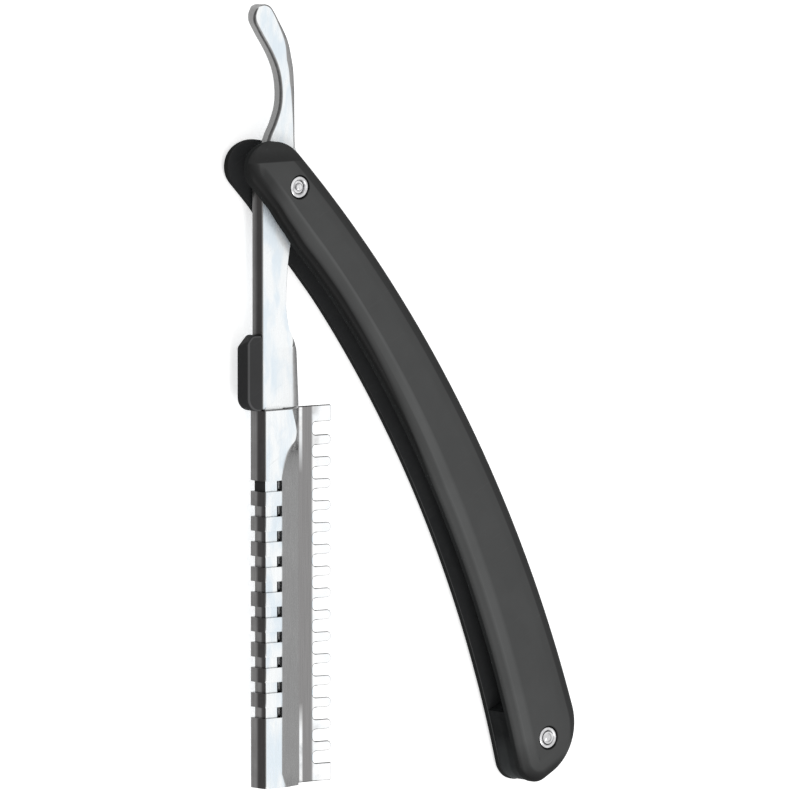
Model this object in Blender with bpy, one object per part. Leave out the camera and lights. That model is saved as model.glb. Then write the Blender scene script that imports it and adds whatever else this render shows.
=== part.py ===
"""Folding hair styling razor with a comb guard, partly opened and lying on its side.

The handle is two curved scales pinned together at both ends, with a spacer at the far end. Between them
turns the head: a steel shank with a tang at one end and, at the other, a folded steel holder that grips a
blade and its comb guard. A black slider on the spine of the shank locks them in. Lengths are in metres. The
origin is on the pivot axis, on the surface that the razor lies on. +X runs along the handle to the end pin,
+Y to its convex side and +Z up. The head is drawn in its own frame: x runs from the spine to the teeth, and
y from the holder to the tang.
"""

import math

import bmesh
import bpy
from mathutils import Vector

# Handle, seen from above
SPACER_WALL = 0.00812
HANDLE_PIVOT_END = 0.01095
HANDLE_FAR_END = 0.00625
CONVEX_AT_PIVOT = 0.0045
CONVEX_RISE = 0.00815
CONVEX_CREST_SHARE = 0.559
CONCAVE_AT_PIVOT = -0.00695
CONCAVE_RISE = 0.0073
CONCAVE_CREST_SHARE = 0.499
PIVOT_CONVEX_ROUND = 0.0077
PIVOT_FACE_ROUND = 0.00177
FAR_CONVEX_ROUND = 0.0096
FAR_CONCAVE_ROUND = 0.0039

# Handle, through its thickness
HEAD_SIDE_CLEARANCE = 0.00015
SCALE_THICKNESS = 0.00205
SCALE_ROUND_WIDTH = 0.00233
SCALE_ROUND_DEPTH = 0.00125

# Pins, collars, washers and bush
PIN_RADIUS = 0.0011
COLLAR_WIDTH = 0.00077
COLLAR_THICKNESS = 0.0008
COLLAR_ROUND = 0.00025
PIN_DOME = 0.00018
WASHER_RADIUS = 0.0034
BUSH_WALL = 0.0008
RUNNING_GAP = 0.00005
BORE_CLEARANCE = 0.00008
COLLAR_CLEARANCE = 0.00012

# End spacer
HEAD_END_CLEARANCE = 0.0014
SPACER_INSET = 0.00015
SPACER_HOLLOW_TURN = math.radians(45)

# Shank
OPEN_ANGLE = math.radians(60.94)
SPINE_OFFSET = 0.00607
SHANK_THICKNESS = 0.0029
SHANK_LENGTH = 0.0383
SHANK_EDGE_REACH = 0.0027
SHANK_EDGE_THICKNESS = 0.0008
SHANK_KNEE_REACH = 0.0003
SHANK_CORNER = 0.00022
LOBE_RADIUS = 0.0046
LOBE_EDGE_SHARES = (
    (1.41, 0.33),
    (1.20, 0.36),
    (0.98, 0.44),
    (0.74, 0.67),
    (0.43, 0.90),
    (0.00, 1.00),
    (-0.43, 0.90),
    (-0.76, 0.65),
    (-1.09, 0.43),
    (-1.52, 0.24),
)
LOBE_BACK_SHARES = ((1.41, 0.78), (1.20, 0.84), (0.98, 0.90), (0.74, 0.96))
WAIST_EDGE_SHARES = (
    (0.26, 0.12, 0.0),
    (0.39, -0.15, 0.0),
    (0.55, -0.23, 0.0),
    (0.64, 0.02, 0.05),
    (0.67, 0.26, 0.35),
    (0.70, 0.55, 0.65),
    (0.73, 0.74, 0.86),
    (0.77, 0.86, 1.0),
    (1.00, 1.00, 1.0),
)

# Tang
TANG_HEIGHT = 0.0294
TANG_CURL = 0.0052
TANG_WIDTH = 0.0045
TANG_THICKNESS = 0.0022
TANG_CORNER = 0.00025
TANG_TIP_FLAT = 0.00037
TANG_CENTRE_SHARES = (
    (-0.37, 0.13),
    (-0.30, 0.25),
    (-0.15, 0.36),
    (-0.05, 0.47),
    (-0.04, 0.585),
    (-0.13, 0.705),
    (-0.39, 0.825),
    (-0.79, 0.94),
    (-1.00, 1.00),
)
TANG_WIDTH_SHARES = (1.42, 1.31, 0.96, 0.71, 0.69, 0.79, 0.94, 1.0, 1.0)

# Holder, folded from sheet
HOLDER_TOP_GAP = 0.0001
HOLDER_LENGTH = 0.0658
HOLDER_THICKNESS = 0.0042
HOLDER_SHEET = 0.0005
HOLDER_FOLD = 0.0003
HOLDER_LIP = 0.00235
LIP_SHEET = 0.0004
LIP_CLEARANCE = 0.00007
KNEE_AT_TOP = 0.00105
KNEE_AT_BODY = -0.00236
SHOULDER_LENGTH = 0.0119
HOLDER_CORNER = 0.0030
CORNER_DRAW = 0.0015
KNEE_STEP_IN = 0.0001
SHOULDER_SHARES = ((0.42, 1.0), (0.49, 0.93), (0.57, 0.66), (0.67, 0.36), (0.82, 0.13), (1.0, 0.0))
HOLDER_FOOT = 0.0018
FOOT_KNEE_SHARE = 0.34

# Windows through the spine of the holder
WINDOW_COUNT = 10
WINDOW_START = 0.0124
WINDOW_FOOT = 0.01221
WINDOW_HEIGHT = 0.00186
WINDOW_REACH = 0.00405

# Inside the holder
TENON_SIDE_CLEARANCE = 0.00037
INSIDE_GAP = 0.0001
SPINE_BAR_SETBACK = 0.00046
SPINE_BAR_FOOT = 0.0008
PEG_RADIUS = 0.0009
PEG_PLACE = -0.0006
PEG_FROM_TOP = 0.0097
PEG_FROM_FOOT = 0.0068
PEG_CLEARANCE = 0.00015

# Blade
BLADE_END_MARGIN = 0.0018
BLADE_WIDTH = 0.00755
BLADE_BACK = -0.0012
BLADE_THICKNESS = 0.00025
BLADE_EDGE_WIDTH = 0.0008
BLADE_EDGE_THICKNESS = 0.00004
BLADE_DROP = 0.00005

# Comb guard
GUARD_THICKNESS = 0.0003
GUARD_RISE = 0.00003
GUARD_BACK = -0.0013
GUARD_ROOT = 0.0059
TOOTH_LENGTH = 0.0038
TOOTH_COUNT = 15
TOOTH_HEIGHT_SHARE = 0.4755
GUARD_FOOT_MARGIN = 0.0003
GUARD_HEEL = 0.00295
GUARD_FIRST_GAP = 0.0022
GUARD_TOE = 0.0032
GUARD_CORNER = 0.0005
TOOTH_TILT = math.radians(6.0)
CREASE_STEP_BACK = 0.0003

# Lock slider
SLIDER_TRAVEL = 0.0044
SLIDER_FOOT_LAP = 0.0002
SLIDER_LENGTH = 0.0137
SLIDER_RISE = 0.00319
SLIDER_THICKNESS = 0.0034
SLIDER_CORNER = 0.0021
SLIDER_FOOT_ROUND = 0.0024
SLIDER_EDGE = 0.0003
WEB_THICKNESS = 0.0011
WEB_DEPTH = 0.0019
WEB_CLEARANCE = 0.0001
WEB_SPRING_DISTANCE = 0.0007
WEB_HOLDER_DISTANCE = 0.0004
TONGUE_BLOCK_LENGTH = 0.0040
TONGUE_BLOCK_LEAD = 0.0018
TONGUE_BLOCK_SETBACK = 0.00056
TONGUE_THICKNESS = 0.00055
TONGUE_SET_BACK = 0.0003
SPRING_THICKNESS = 0.0002
SPRING_LENGTH = 0.0030
SPRING_WIDTH = 0.0016
SPRING_RISE = 0.0008
SPRING_POCKET_GAP = 0.0001
SPRING_START = 0.0013

# Working values
CURVE_STEPS = 26
HOLLOW_STEPS = 52
CORNER_STEPS = 7
ROUND_STEPS = 4
ROUND_SIDES = 32
TOOTH_STEPS = 6
TANG_STEPS = 3
OVERRUN = 0.001
OVERLAP = 0.0003
CUT_TOLERANCE = 0.0000004
SHARP_ANGLE = math.radians(30)

# Sizes that follow from the ones above: holder, blade and guard
HALF_HOLDER = HOLDER_THICKNESS / 2
HOLDER_TOP = -(SHANK_LENGTH + HOLDER_TOP_GAP)
HOLDER_END = HOLDER_TOP - HOLDER_LENGTH
INNER_SPINE = -SPINE_OFFSET + HOLDER_SHEET
INNER_HALF = HALF_HOLDER - HOLDER_SHEET
LIP_INNER_HALF = max(GUARD_RISE + GUARD_THICKNESS, BLADE_DROP + BLADE_THICKNESS) + LIP_CLEARANCE
WINDOW_ROOM = HOLDER_LENGTH - WINDOW_START - WINDOW_FOOT - WINDOW_HEIGHT
WINDOW_PITCH = WINDOW_ROOM / (WINDOW_COUNT - 1)
PEG_DEPTHS = (PEG_FROM_TOP, HOLDER_LENGTH - PEG_FROM_FOOT)
GUARD_END = HOLDER_END + GUARD_FOOT_MARGIN
TOOTH_ROOM = HOLDER_LENGTH - GUARD_FOOT_MARGIN - GUARD_HEEL - GUARD_FIRST_GAP - GUARD_TOE
TOOTH_PITCH = TOOTH_ROOM / TOOTH_COUNT
TOOTH_HEIGHT = TOOTH_PITCH * TOOTH_HEIGHT_SHARE

# Sizes that follow: handle and shank
HANDLE_GAP = HOLDER_THICKNESS + 2 * HEAD_SIDE_CLEARANCE
HALF_HANDLE = HANDLE_GAP / 2 + SCALE_THICKNESS
HALF_SHANK = SHANK_THICKNESS / 2
HOLLOW_REACH = math.hypot(HOLDER_END, SPINE_OFFSET) + HEAD_END_CLEARANCE
PIN_DISTANCE = HOLLOW_REACH + SPACER_WALL
PIVOT_CONCAVE_ROUND = SCALE_ROUND_WIDTH + PIVOT_FACE_ROUND
BORE_RADIUS = PIN_RADIUS + BORE_CLEARANCE
COLLAR_RADIUS = BORE_RADIUS + COLLAR_WIDTH

# Sizes that follow: lock slider
SLIDER_FOOT = HOLDER_TOP - SLIDER_FOOT_LAP
SLIDER_TOP = SLIDER_FOOT + SLIDER_LENGTH
POCKET_TOP = SLIDER_TOP - SPRING_START
POCKET_END = POCKET_TOP - SPRING_LENGTH - 2 * SPRING_POCKET_GAP
WEB_TOP = POCKET_END - WEB_SPRING_DISTANCE
WEB_END = HOLDER_TOP + WEB_HOLDER_DISTANCE
WEB_FLOOR = -SPINE_OFFSET + WEB_DEPTH
BLOCK_TOP = HOLDER_TOP - WINDOW_START + TONGUE_BLOCK_LEAD
BLOCK_END = BLOCK_TOP - TONGUE_BLOCK_LENGTH
TENON_END = BLOCK_TOP + SLIDER_TRAVEL + INSIDE_GAP

# Colours as linear red, green and blue, and how rough the two kinds of surface are
HANDLE_BLACK = (0.018, 0.019, 0.019)
SPACER_GREY = (0.035, 0.038, 0.040)
SLIDER_BLACK = (0.022, 0.022, 0.023)
STEEL = (0.72, 0.74, 0.76)
DARKER_STEEL = (0.50, 0.50, 0.50)
BRONZE = (0.45, 0.36, 0.24)
PLASTIC_ROUGHNESS = 0.3
METAL_ROUGHNESS = 0.25


def clear_scene():
    for thing in list(bpy.data.objects):
        bpy.data.objects.remove(thing)


def material(name, colour, roughness, metallic):
    made = bpy.data.materials.new(name)
    made.use_nodes = True
    shader = made.node_tree.nodes["Principled BSDF"]
    shader.inputs["Base Color"].default_value = (*colour, 1)
    shader.inputs["Roughness"].default_value = roughness
    shader.inputs["Metallic"].default_value = metallic
    return made


def plastic(name, colour):
    return material(name, colour, PLASTIC_ROUGHNESS, 0)


def metal(name, colour):
    return material(name, colour, METAL_ROUGHNESS, 1)


def empty(name, parent=None):
    made = bpy.data.objects.new(name, None)
    bpy.context.scene.collection.objects.link(made)
    made.parent = parent
    return made


def piece(name, mesh, parent, finish):
    """A named sub-part of the razor from a mesh."""
    made = bpy.data.objects.new(name, mesh)
    bpy.context.scene.collection.objects.link(made)
    made.parent = parent
    mesh.materials.append(finish)
    mesh.shade_smooth()
    mesh.set_sharp_from_angle(angle=SHARP_ANGLE)
    return made


def cutter(name, mesh, parent):
    made = bpy.data.objects.new(name, mesh)
    bpy.context.scene.collection.objects.link(made)
    made.parent = parent
    made.hide_render = True
    made.display_type = "WIRE"
    return made


def combine(target, other, operation):
    made = target.modifiers.new(other.name, "BOOLEAN")
    made.operation = operation
    made.object = other


def finished(name, shape):
    """The bmesh as a mesh, with its faces pointing out."""
    bmesh.ops.recalc_face_normals(shape, faces=shape.faces)
    mesh = bpy.data.meshes.new(name)
    shape.to_mesh(mesh)
    shape.free()
    return mesh


def add_skin(shape, rings, around=False):
    """Walls between rings of points. The first and last ring are capped, or joined to each other."""
    made = [[shape.verts.new(point) for point in ring] for ring in rings]
    following = made[1:] + made[:1] if around else made[1:]
    for ring, after in zip(made, following):
        for i in range(len(ring)):
            j = (i + 1) % len(ring)
            shape.faces.new((ring[i], ring[j], after[j], after[i]))
    if not around:
        shape.faces.new(made[0][::-1])
        shape.faces.new(made[-1])


def skin(name, rings, around=False):
    shape = bmesh.new()
    add_skin(shape, rings, around)
    return finished(name, shape)


def plate(name, outline, low, high):
    """A flat outline given thickness along z."""
    return skin(name, [[(x, y, z) for x, y in outline] for z in (low, high)])


def add_box(shape, low, high):
    corners = ((low[0], low[1]), (high[0], low[1]), (high[0], high[1]), (low[0], high[1]))
    add_skin(shape, [[(x, y, z) for x, y in corners] for z in (low[2], high[2])])


def box(name, low, high):
    shape = bmesh.new()
    add_box(shape, low, high)
    return finished(name, shape)


def circle(radius, z):
    turns = (math.tau * i / ROUND_SIDES for i in range(ROUND_SIDES))
    return [(radius * math.cos(a), radius * math.sin(a), z) for a in turns]


def turned(name, profile, around=False):
    """A round piece on the z axis, from the radii and heights of its profile."""
    return skin(name, [circle(radius, z) for radius, z in profile], around)


def arc(centre, radius, start, end, steps):
    turns = (start + (end - start) * i / steps for i in range(steps + 1))
    return [(centre[0] + radius * math.cos(a), centre[1] + radius * math.sin(a)) for a in turns]


def smooth_through(points, steps):
    """A smooth curve through the points, with some steps from each to the next."""
    ends = [2 * points[0] - points[1], *points, 2 * points[-1] - points[-2]]
    made = []
    for before, start, end, after in zip(ends, ends[1:], ends[2:], ends[3:]):
        for i in range(steps):
            t = i / steps
            made.append(
                0.5
                * (
                    2 * start
                    + (end - before) * t
                    + (2 * before - 5 * start + 4 * end - after) * t**2
                    + (3 * start - before - 3 * end + after) * t**3
                )
            )
    return [*made, points[-1]]


def edge_arc(at_pivot, rise, crest_share):
    """Centre and radius of a long edge of the handle, from its height over the pivot and its crest."""
    crest = PIN_DISTANCE * crest_share
    radius = (crest**2 + rise**2) / (2 * rise)
    return (crest, at_pivot + rise - radius), radius


CONVEX_CENTRE, CONVEX_RADIUS = edge_arc(CONVEX_AT_PIVOT, CONVEX_RISE, CONVEX_CREST_SHARE)
CONCAVE_CENTRE, CONCAVE_RADIUS = edge_arc(CONCAVE_AT_PIVOT, CONCAVE_RISE, CONCAVE_CREST_SHARE)


def corner_turn(x, centre, distance):
    """The centre of a round corner at this x, and its direction from the centre of the long edge."""
    along = x - centre[0]
    up = math.sqrt(distance**2 - along**2)
    return (x, centre[1] + up), math.atan2(up, along)


def handle_outline(inset):
    """The outline of a scale, drawn in by the inset, anticlockwise from its concave side."""
    near, far = -HANDLE_PIVOT_END, PIN_DISTANCE + HANDLE_FAR_END
    corners = (
        (near + PIVOT_CONCAVE_ROUND, CONCAVE_CENTRE, CONCAVE_RADIUS + PIVOT_CONCAVE_ROUND),
        (far - FAR_CONCAVE_ROUND, CONCAVE_CENTRE, CONCAVE_RADIUS + FAR_CONCAVE_ROUND),
        (far - FAR_CONVEX_ROUND, CONVEX_CENTRE, CONVEX_RADIUS - FAR_CONVEX_ROUND),
        (near + PIVOT_CONVEX_ROUND, CONVEX_CENTRE, CONVEX_RADIUS - PIVOT_CONVEX_ROUND),
    )
    (a, at_a), (b, at_b), (c, at_c), (d, at_d) = (corner_turn(*corner) for corner in corners)
    half, whole = math.pi, math.tau
    return [
        *arc(CONCAVE_CENTRE, CONCAVE_RADIUS + inset, at_a, at_b, CURVE_STEPS),
        *arc(b, FAR_CONCAVE_ROUND - inset, at_b + half, whole, CORNER_STEPS)[1:],
        *arc(c, FAR_CONVEX_ROUND - inset, 0, at_c, CORNER_STEPS),
        *arc(CONVEX_CENTRE, CONVEX_RADIUS - inset, at_c, at_d, CURVE_STEPS)[1:],
        *arc(d, PIVOT_CONVEX_ROUND - inset, at_d, half, CORNER_STEPS)[1:],
        *arc(a, PIVOT_CONCAVE_ROUND - inset, half, at_a + half, CORNER_STEPS)[:-1],
    ]


def pin_bore(name, place, side, parent):
    """The hole through one scale and the seat of its collar, as one stepped cutter."""
    seat = HALF_HANDLE - COLLAR_THICKNESS - 2 * RUNNING_GAP
    wide = COLLAR_RADIUS + COLLAR_CLEARANCE
    profile = ((BORE_RADIUS, 0), (BORE_RADIUS, seat), (wide, seat), (wide, HALF_HANDLE + OVERRUN))
    made = cutter(name, turned(name, [(r, side * z) for r, z in profile]), parent)
    made.location.x = place
    return made


def scale(name, side, parent):
    """One of the two scales. Side is 1 for the top one and -1 for the bottom one."""
    wall_top = HALF_HANDLE - SCALE_ROUND_DEPTH
    levels = [(0, HANDLE_GAP / 2)]
    for i in range(ROUND_STEPS + 1):
        turn = math.pi / 2 * i / ROUND_STEPS
        rise = SCALE_ROUND_DEPTH * math.sin(turn)
        levels.append((SCALE_ROUND_WIDTH * (1 - math.cos(turn)), wall_top + rise))
    rings = [[(x, y, side * z) for x, y in handle_outline(inset)] for inset, z in levels]
    made = piece(name, skin(name, rings), parent, plastic(name, HANDLE_BLACK))
    for which, place in (("pivot", 0), ("end", PIN_DISTANCE)):
        combine(made, pin_bore(f"{name}_{which}_bore", place, side, parent), "DIFFERENCE")


def spacer(parent):
    """The block between the scales at the far end, hollowed in a curve round the pivot to clear the head."""
    name = "end_spacer"
    half = HANDLE_GAP / 2 - RUNNING_GAP
    block = plate(name, handle_outline(SPACER_INSET), -half, half)
    made = piece(name, block, parent, plastic(name, SPACER_GREY))
    swept = arc((0, 0), HOLLOW_REACH, -SPACER_HOLLOW_TURN, SPACER_HOLLOW_TURN, HOLLOW_STEPS)
    room = [*swept, (-PIN_DISTANCE, PIN_DISTANCE), (-PIN_DISTANCE, -PIN_DISTANCE)]
    space = plate("head_space", room, -half - OVERRUN, half + OVERRUN)
    combine(made, cutter("head_space", space, parent), "DIFFERENCE")
    bore = turned("spacer_bore", ((BORE_RADIUS, -half - OVERRUN), (BORE_RADIUS, half + OVERRUN)))
    hole = cutter("spacer_bore", bore, parent)
    hole.location.x = PIN_DISTANCE
    combine(made, hole, "DIFFERENCE")


def pin(name, place, parent):
    """A pin through both scales. Its lower end is flat and its upper end is peened to a low dome."""
    top = HALF_HANDLE - RUNNING_GAP
    profile = ((PIN_RADIUS, -HALF_HANDLE), (PIN_RADIUS, top), (PIN_RADIUS - PIN_DOME, top + PIN_DOME))
    made = piece(name, turned(name, profile), parent, metal(name, STEEL))
    made.location.x = place


def collar(name, place, side, parent):
    """The ring round a pin's end, let into its seat in the scale."""
    low = HALF_HANDLE - COLLAR_THICKNESS - RUNNING_GAP
    high = HALF_HANDLE - RUNNING_GAP
    profile = (
        (BORE_RADIUS, low),
        (COLLAR_RADIUS, low),
        (COLLAR_RADIUS, high - COLLAR_ROUND),
        (COLLAR_RADIUS - COLLAR_ROUND, high),
        (BORE_RADIUS + COLLAR_ROUND, high),
        (BORE_RADIUS, high - COLLAR_ROUND),
    )
    mesh = turned(name, [(r, side * z) for r, z in profile], around=True)
    made = piece(name, mesh, parent, metal(name, STEEL))
    made.location.x = place


def washer(name, side, parent):
    """A thin disc between the shank and one scale, round the pivot pin."""
    low, high = HALF_SHANK + RUNNING_GAP, HANDLE_GAP / 2 - RUNNING_GAP
    corners = ((BORE_RADIUS, low), (WASHER_RADIUS, low), (WASHER_RADIUS, high), (BORE_RADIUS, high))
    mesh = turned(name, [(r, side * z) for r, z in corners], around=True)
    piece(name, mesh, parent, metal(name, BRONZE))


def bush(parent):
    """The sleeve in the eye of the shank, on which the head turns."""
    name = "pivot_bush"
    outer, half = BORE_RADIUS + BUSH_WALL, HALF_SHANK - RUNNING_GAP
    corners = ((BORE_RADIUS, -half), (outer, -half), (outer, half), (BORE_RADIUS, half))
    piece(name, turned(name, corners, around=True), parent, metal(name, BRONZE))


def shank_stations():
    """Places along the shank: y, back x, knee x, edge x and half the thickness at the edge."""
    backs = dict(LOBE_BACK_SHARES)
    corner = HALF_SHANK - SHANK_CORNER
    made = []
    for along, reach in LOBE_EDGE_SHARES:
        edge = LOBE_RADIUS * reach
        back = -SPINE_OFFSET * backs.get(along, 1)
        made.append((LOBE_RADIUS * along, back, edge - SHANK_CORNER, edge, corner))
    for along, reach, bevel in WAIST_EDGE_SHARES:
        edge = SHANK_EDGE_REACH * reach
        knee = (edge - SHANK_CORNER) * (1 - bevel) + SHANK_KNEE_REACH * bevel
        half = corner * (1 - bevel) + SHANK_EDGE_THICKNESS / 2 * bevel
        made.append((-SHANK_LENGTH * along, -SPINE_OFFSET, knee, edge, half))
    return made


def shank_section(y, back, knee, edge, half):
    inside = HALF_SHANK - SHANK_CORNER
    upper = (
        (edge, half),
        (knee, HALF_SHANK),
        (back + SHANK_CORNER, HALF_SHANK),
        (back, inside),
    )
    return [(x, y, z) for x, z in (*upper, *((x, -z) for x, z in reversed(upper)))]


def tang_section(centre, across, half_width, half_thickness):
    corners = (
        (half_width, half_thickness - TANG_CORNER),
        (half_width - TANG_CORNER, half_thickness),
        (TANG_CORNER - half_width, half_thickness),
        (-half_width, half_thickness - TANG_CORNER),
    )
    ring = (*corners, *((w, -z) for w, z in reversed(corners)))
    return [(centre.x + across.x * w, centre.y + across.y * w, z) for w, z in ring]


def tang_rings():
    """Sections along the curled tang, ending in a round tip."""
    points = [
        Vector((TANG_CURL * x, TANG_HEIGHT * y, TANG_WIDTH * w))
        for (x, y), w in zip(TANG_CENTRE_SHARES, TANG_WIDTH_SHARES)
    ]
    line = smooth_through(points, TANG_STEPS)
    half = TANG_THICKNESS / 2
    rings = []
    for i, point in enumerate(line):
        ahead = line[min(i + 1, len(line) - 1)] - line[max(i - 1, 0)]
        forward = Vector((ahead.x, ahead.y)).normalized()
        across = Vector((forward.y, -forward.x))
        rings.append(tang_section(point.xy, across, point.z / 2, half))
    tip, radius = line[-1], line[-1].z / 2
    flat = math.acos(TANG_TIP_FLAT / radius)
    for i in range(1, CORNER_STEPS + 1):
        turn = flat * i / CORNER_STEPS
        centre = tip.xy + forward * radius * math.sin(turn)
        rings.append(tang_section(centre, across, radius * math.cos(turn), half))
    return rings


def shank(parent):
    """The shank with its eye, its tang and the tenon that enters the holder, in one piece."""
    name = "shank_tang"
    body = skin(name, [shank_section(*station) for station in shank_stations()])
    made = piece(name, body, parent, metal(name, STEEL))
    tang = cutter("tang", skin("tang", tang_rings()), parent)
    tenon_half = INNER_HALF - INSIDE_GAP
    low = (INNER_SPINE + INSIDE_GAP, TENON_END, -tenon_half)
    tenon_right = min(BLADE_BACK, GUARD_BACK) - TENON_SIDE_CLEARANCE
    high = (tenon_right, OVERLAP - SHANK_LENGTH, tenon_half)
    tenon = cutter("tenon", box("tenon", low, high), parent)
    eye_radius = BORE_RADIUS + BUSH_WALL + RUNNING_GAP
    eye = turned("eye", ((eye_radius, -HALF_SHANK - OVERRUN), (eye_radius, HALF_SHANK + OVERRUN)))
    groove_half = WEB_THICKNESS / 2 + WEB_CLEARANCE
    groove_top = WEB_TOP + SLIDER_TRAVEL + WEB_CLEARANCE
    low = (-SPINE_OFFSET - OVERRUN, TENON_END - OVERRUN, -groove_half)
    high = (WEB_FLOOR + WEB_CLEARANCE, groove_top, groove_half)
    combine(made, tang, "UNION")
    combine(made, tenon, "UNION")
    combine(made, cutter("eye", eye, parent), "DIFFERENCE")
    combine(made, cutter("groove", box("groove", low, high), parent), "DIFFERENCE")


def holder_stations():
    """Places along the holder: its depth below the top, and the x of its knee and of its lip."""
    run = KNEE_AT_TOP - KNEE_AT_BODY
    made = []
    for i in range(CORNER_STEPS + 1):
        turn = math.pi / 2 * i / CORNER_STEPS
        draw = CORNER_DRAW * (1 - math.sin(turn))
        made.append((HOLDER_CORNER * (1 - math.cos(turn)), KNEE_AT_TOP - draw, HOLDER_LIP - draw))
    for along, share in SHOULDER_SHARES:
        made.append((SHOULDER_LENGTH * along, KNEE_AT_BODY + run * share, HOLDER_LIP))
    made.append((HOLDER_LENGTH - HOLDER_FOOT, KNEE_AT_BODY, HOLDER_LIP))
    made.append((HOLDER_LENGTH, KNEE_AT_BODY + run * FOOT_KNEE_SHARE, HOLDER_LIP))
    return made


def holder_section(depth, knee, lip):
    """The folded sheet, cut across: spine at the left, open lips at the right."""
    bend = HOLDER_FOLD * (1 - math.sqrt(0.5))
    upper = (
        (lip, LIP_INNER_HALF),
        (lip, LIP_INNER_HALF + LIP_SHEET),
        (knee, HALF_HOLDER),
        (HOLDER_FOLD - SPINE_OFFSET, HALF_HOLDER),
        (bend - SPINE_OFFSET, HALF_HOLDER - bend),
        (-SPINE_OFFSET, HALF_HOLDER - HOLDER_FOLD),
    )
    inner = ((INNER_SPINE, INNER_HALF), (knee - KNEE_STEP_IN, INNER_HALF))
    ring = (
        *upper,
        *((x, -z) for x, z in reversed(upper)),
        *((x, -z) for x, z in reversed(inner)),
        *inner,
    )
    return [(x, HOLDER_TOP - depth, z) for x, z in ring]


def window_cutter(parent):
    shape = bmesh.new()
    half = HALF_HOLDER + OVERRUN
    for i in range(WINDOW_COUNT):
        top = HOLDER_TOP - WINDOW_START - i * WINDOW_PITCH
        low = (-SPINE_OFFSET - OVERRUN, top - WINDOW_HEIGHT, -half)
        add_box(shape, low, (-SPINE_OFFSET + WINDOW_REACH, top, half))
    return cutter("windows", finished("windows", shape), parent)


def holder(parent):
    name = "holder"
    rings = [holder_section(*station) for station in holder_stations()]
    made = piece(name, skin(name, rings), parent, metal(name, STEEL))
    combine(made, window_cutter(parent), "DIFFERENCE")


def spine_bar(parent):
    """The bar inside the fold, seen through the windows."""
    name = "spine_bar"
    half = INNER_HALF - INSIDE_GAP
    low = (INNER_SPINE + INSIDE_GAP, HOLDER_END + SPINE_BAR_FOOT, -half)
    high = (KNEE_AT_BODY - SPINE_BAR_SETBACK, BLOCK_END - INSIDE_GAP, half)
    piece(name, box(name, low, high), parent, metal(name, STEEL))


def peg(name, depth, parent):
    """A peg between the flanks of the holder that keeps the blade and the guard from sliding along it."""
    fall = (INNER_HALF - LIP_INNER_HALF) / (HOLDER_LIP - KNEE_AT_BODY)
    half = INNER_HALF - fall * (PEG_PLACE + PEG_RADIUS - KNEE_AT_BODY) - RUNNING_GAP
    mesh = turned(name, ((PEG_RADIUS, -half), (PEG_RADIUS, half)))
    made = piece(name, mesh, parent, metal(name, DARKER_STEEL))
    made.location = (PEG_PLACE, HOLDER_TOP - depth, 0)


def peg_notches(back, top, bottom):
    """Points down a back edge at x, with a round-ended notch at each peg."""
    radius = PEG_RADIUS + PEG_CLEARANCE
    points = [(back, top)]
    for depth in PEG_DEPTHS:
        centre = (PEG_PLACE, HOLDER_TOP - depth)
        points.append((back, centre[1] + radius))
        points += arc(centre, radius, math.pi / 2, -math.pi / 2, CORNER_STEPS)
        points.append((back, centre[1] - radius))
    return [*points, (back, bottom)]


def blade(parent):
    """The blade: a thin strip whose free side is ground to an edge."""
    name = "blade"
    top, bottom = HOLDER_TOP - BLADE_END_MARGIN, HOLDER_END + BLADE_END_MARGIN
    edge = BLADE_BACK + BLADE_WIDTH
    ground = edge - BLADE_EDGE_WIDTH
    high = -BLADE_DROP
    low = high - BLADE_THICKNESS
    thin = (BLADE_THICKNESS - BLADE_EDGE_THICKNESS) / 2
    back = peg_notches(BLADE_BACK, top, bottom)
    outline = [*back, (ground, bottom), (edge, bottom), (edge, top), (ground, top)]
    shape = bmesh.new()
    add_skin(shape, [[(x, y, z) for x, y in outline] for z in (low, high)])
    bmesh.ops.bisect_plane(
        shape,
        geom=[*shape.verts, *shape.edges, *shape.faces],
        dist=CUT_TOLERANCE,
        plane_co=(ground, 0, 0),
        plane_no=(1, 0, 0),
    )
    for vert in shape.verts:
        if vert.co.x > ground + BLADE_EDGE_WIDTH / 2:
            vert.co.z += thin if vert.co.z < (low + high) / 2 else -thin
    piece(name, finished(name, shape), parent, metal(name, STEEL))


def blunt_end(low, high):
    """Points round the end of the guard's heel or toe, from its lower side to its upper one."""
    x = GUARD_ROOT + TOOTH_LENGTH - GUARD_CORNER
    return [
        *arc((x, low + GUARD_CORNER), GUARD_CORNER, -math.pi / 2, 0, CORNER_STEPS // 2),
        *arc((x, high - GUARD_CORNER), GUARD_CORNER, 0, math.pi / 2, CORNER_STEPS // 2),
    ]


def tooth_end(low, high):
    half = (high - low) / 2
    centre = (GUARD_ROOT + TOOTH_LENGTH - half, low + half)
    return arc(centre, half, -math.pi / 2, math.pi / 2, TOOTH_STEPS)


def gap_end(low, high):
    half = (high - low) / 2
    centre = (GUARD_ROOT + half, low + half)
    return arc(centre, half, math.pi * 1.5, math.pi / 2, TOOTH_STEPS)


def guard_outline():
    """The comb guard's outline, down its back edge and up along its teeth."""
    top, side = HOLDER_TOP, GUARD_END + GUARD_TOE
    points = peg_notches(GUARD_BACK, top, GUARD_END) + blunt_end(GUARD_END, side)
    for _ in range(TOOTH_COUNT):
        tooth_low = side + TOOTH_PITCH - TOOTH_HEIGHT
        points += gap_end(side, tooth_low)
        side = tooth_low + TOOTH_HEIGHT
        points += tooth_end(tooth_low, side)
    return points + gap_end(side, top - GUARD_HEEL) + blunt_end(top - GUARD_HEEL, top)


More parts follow.
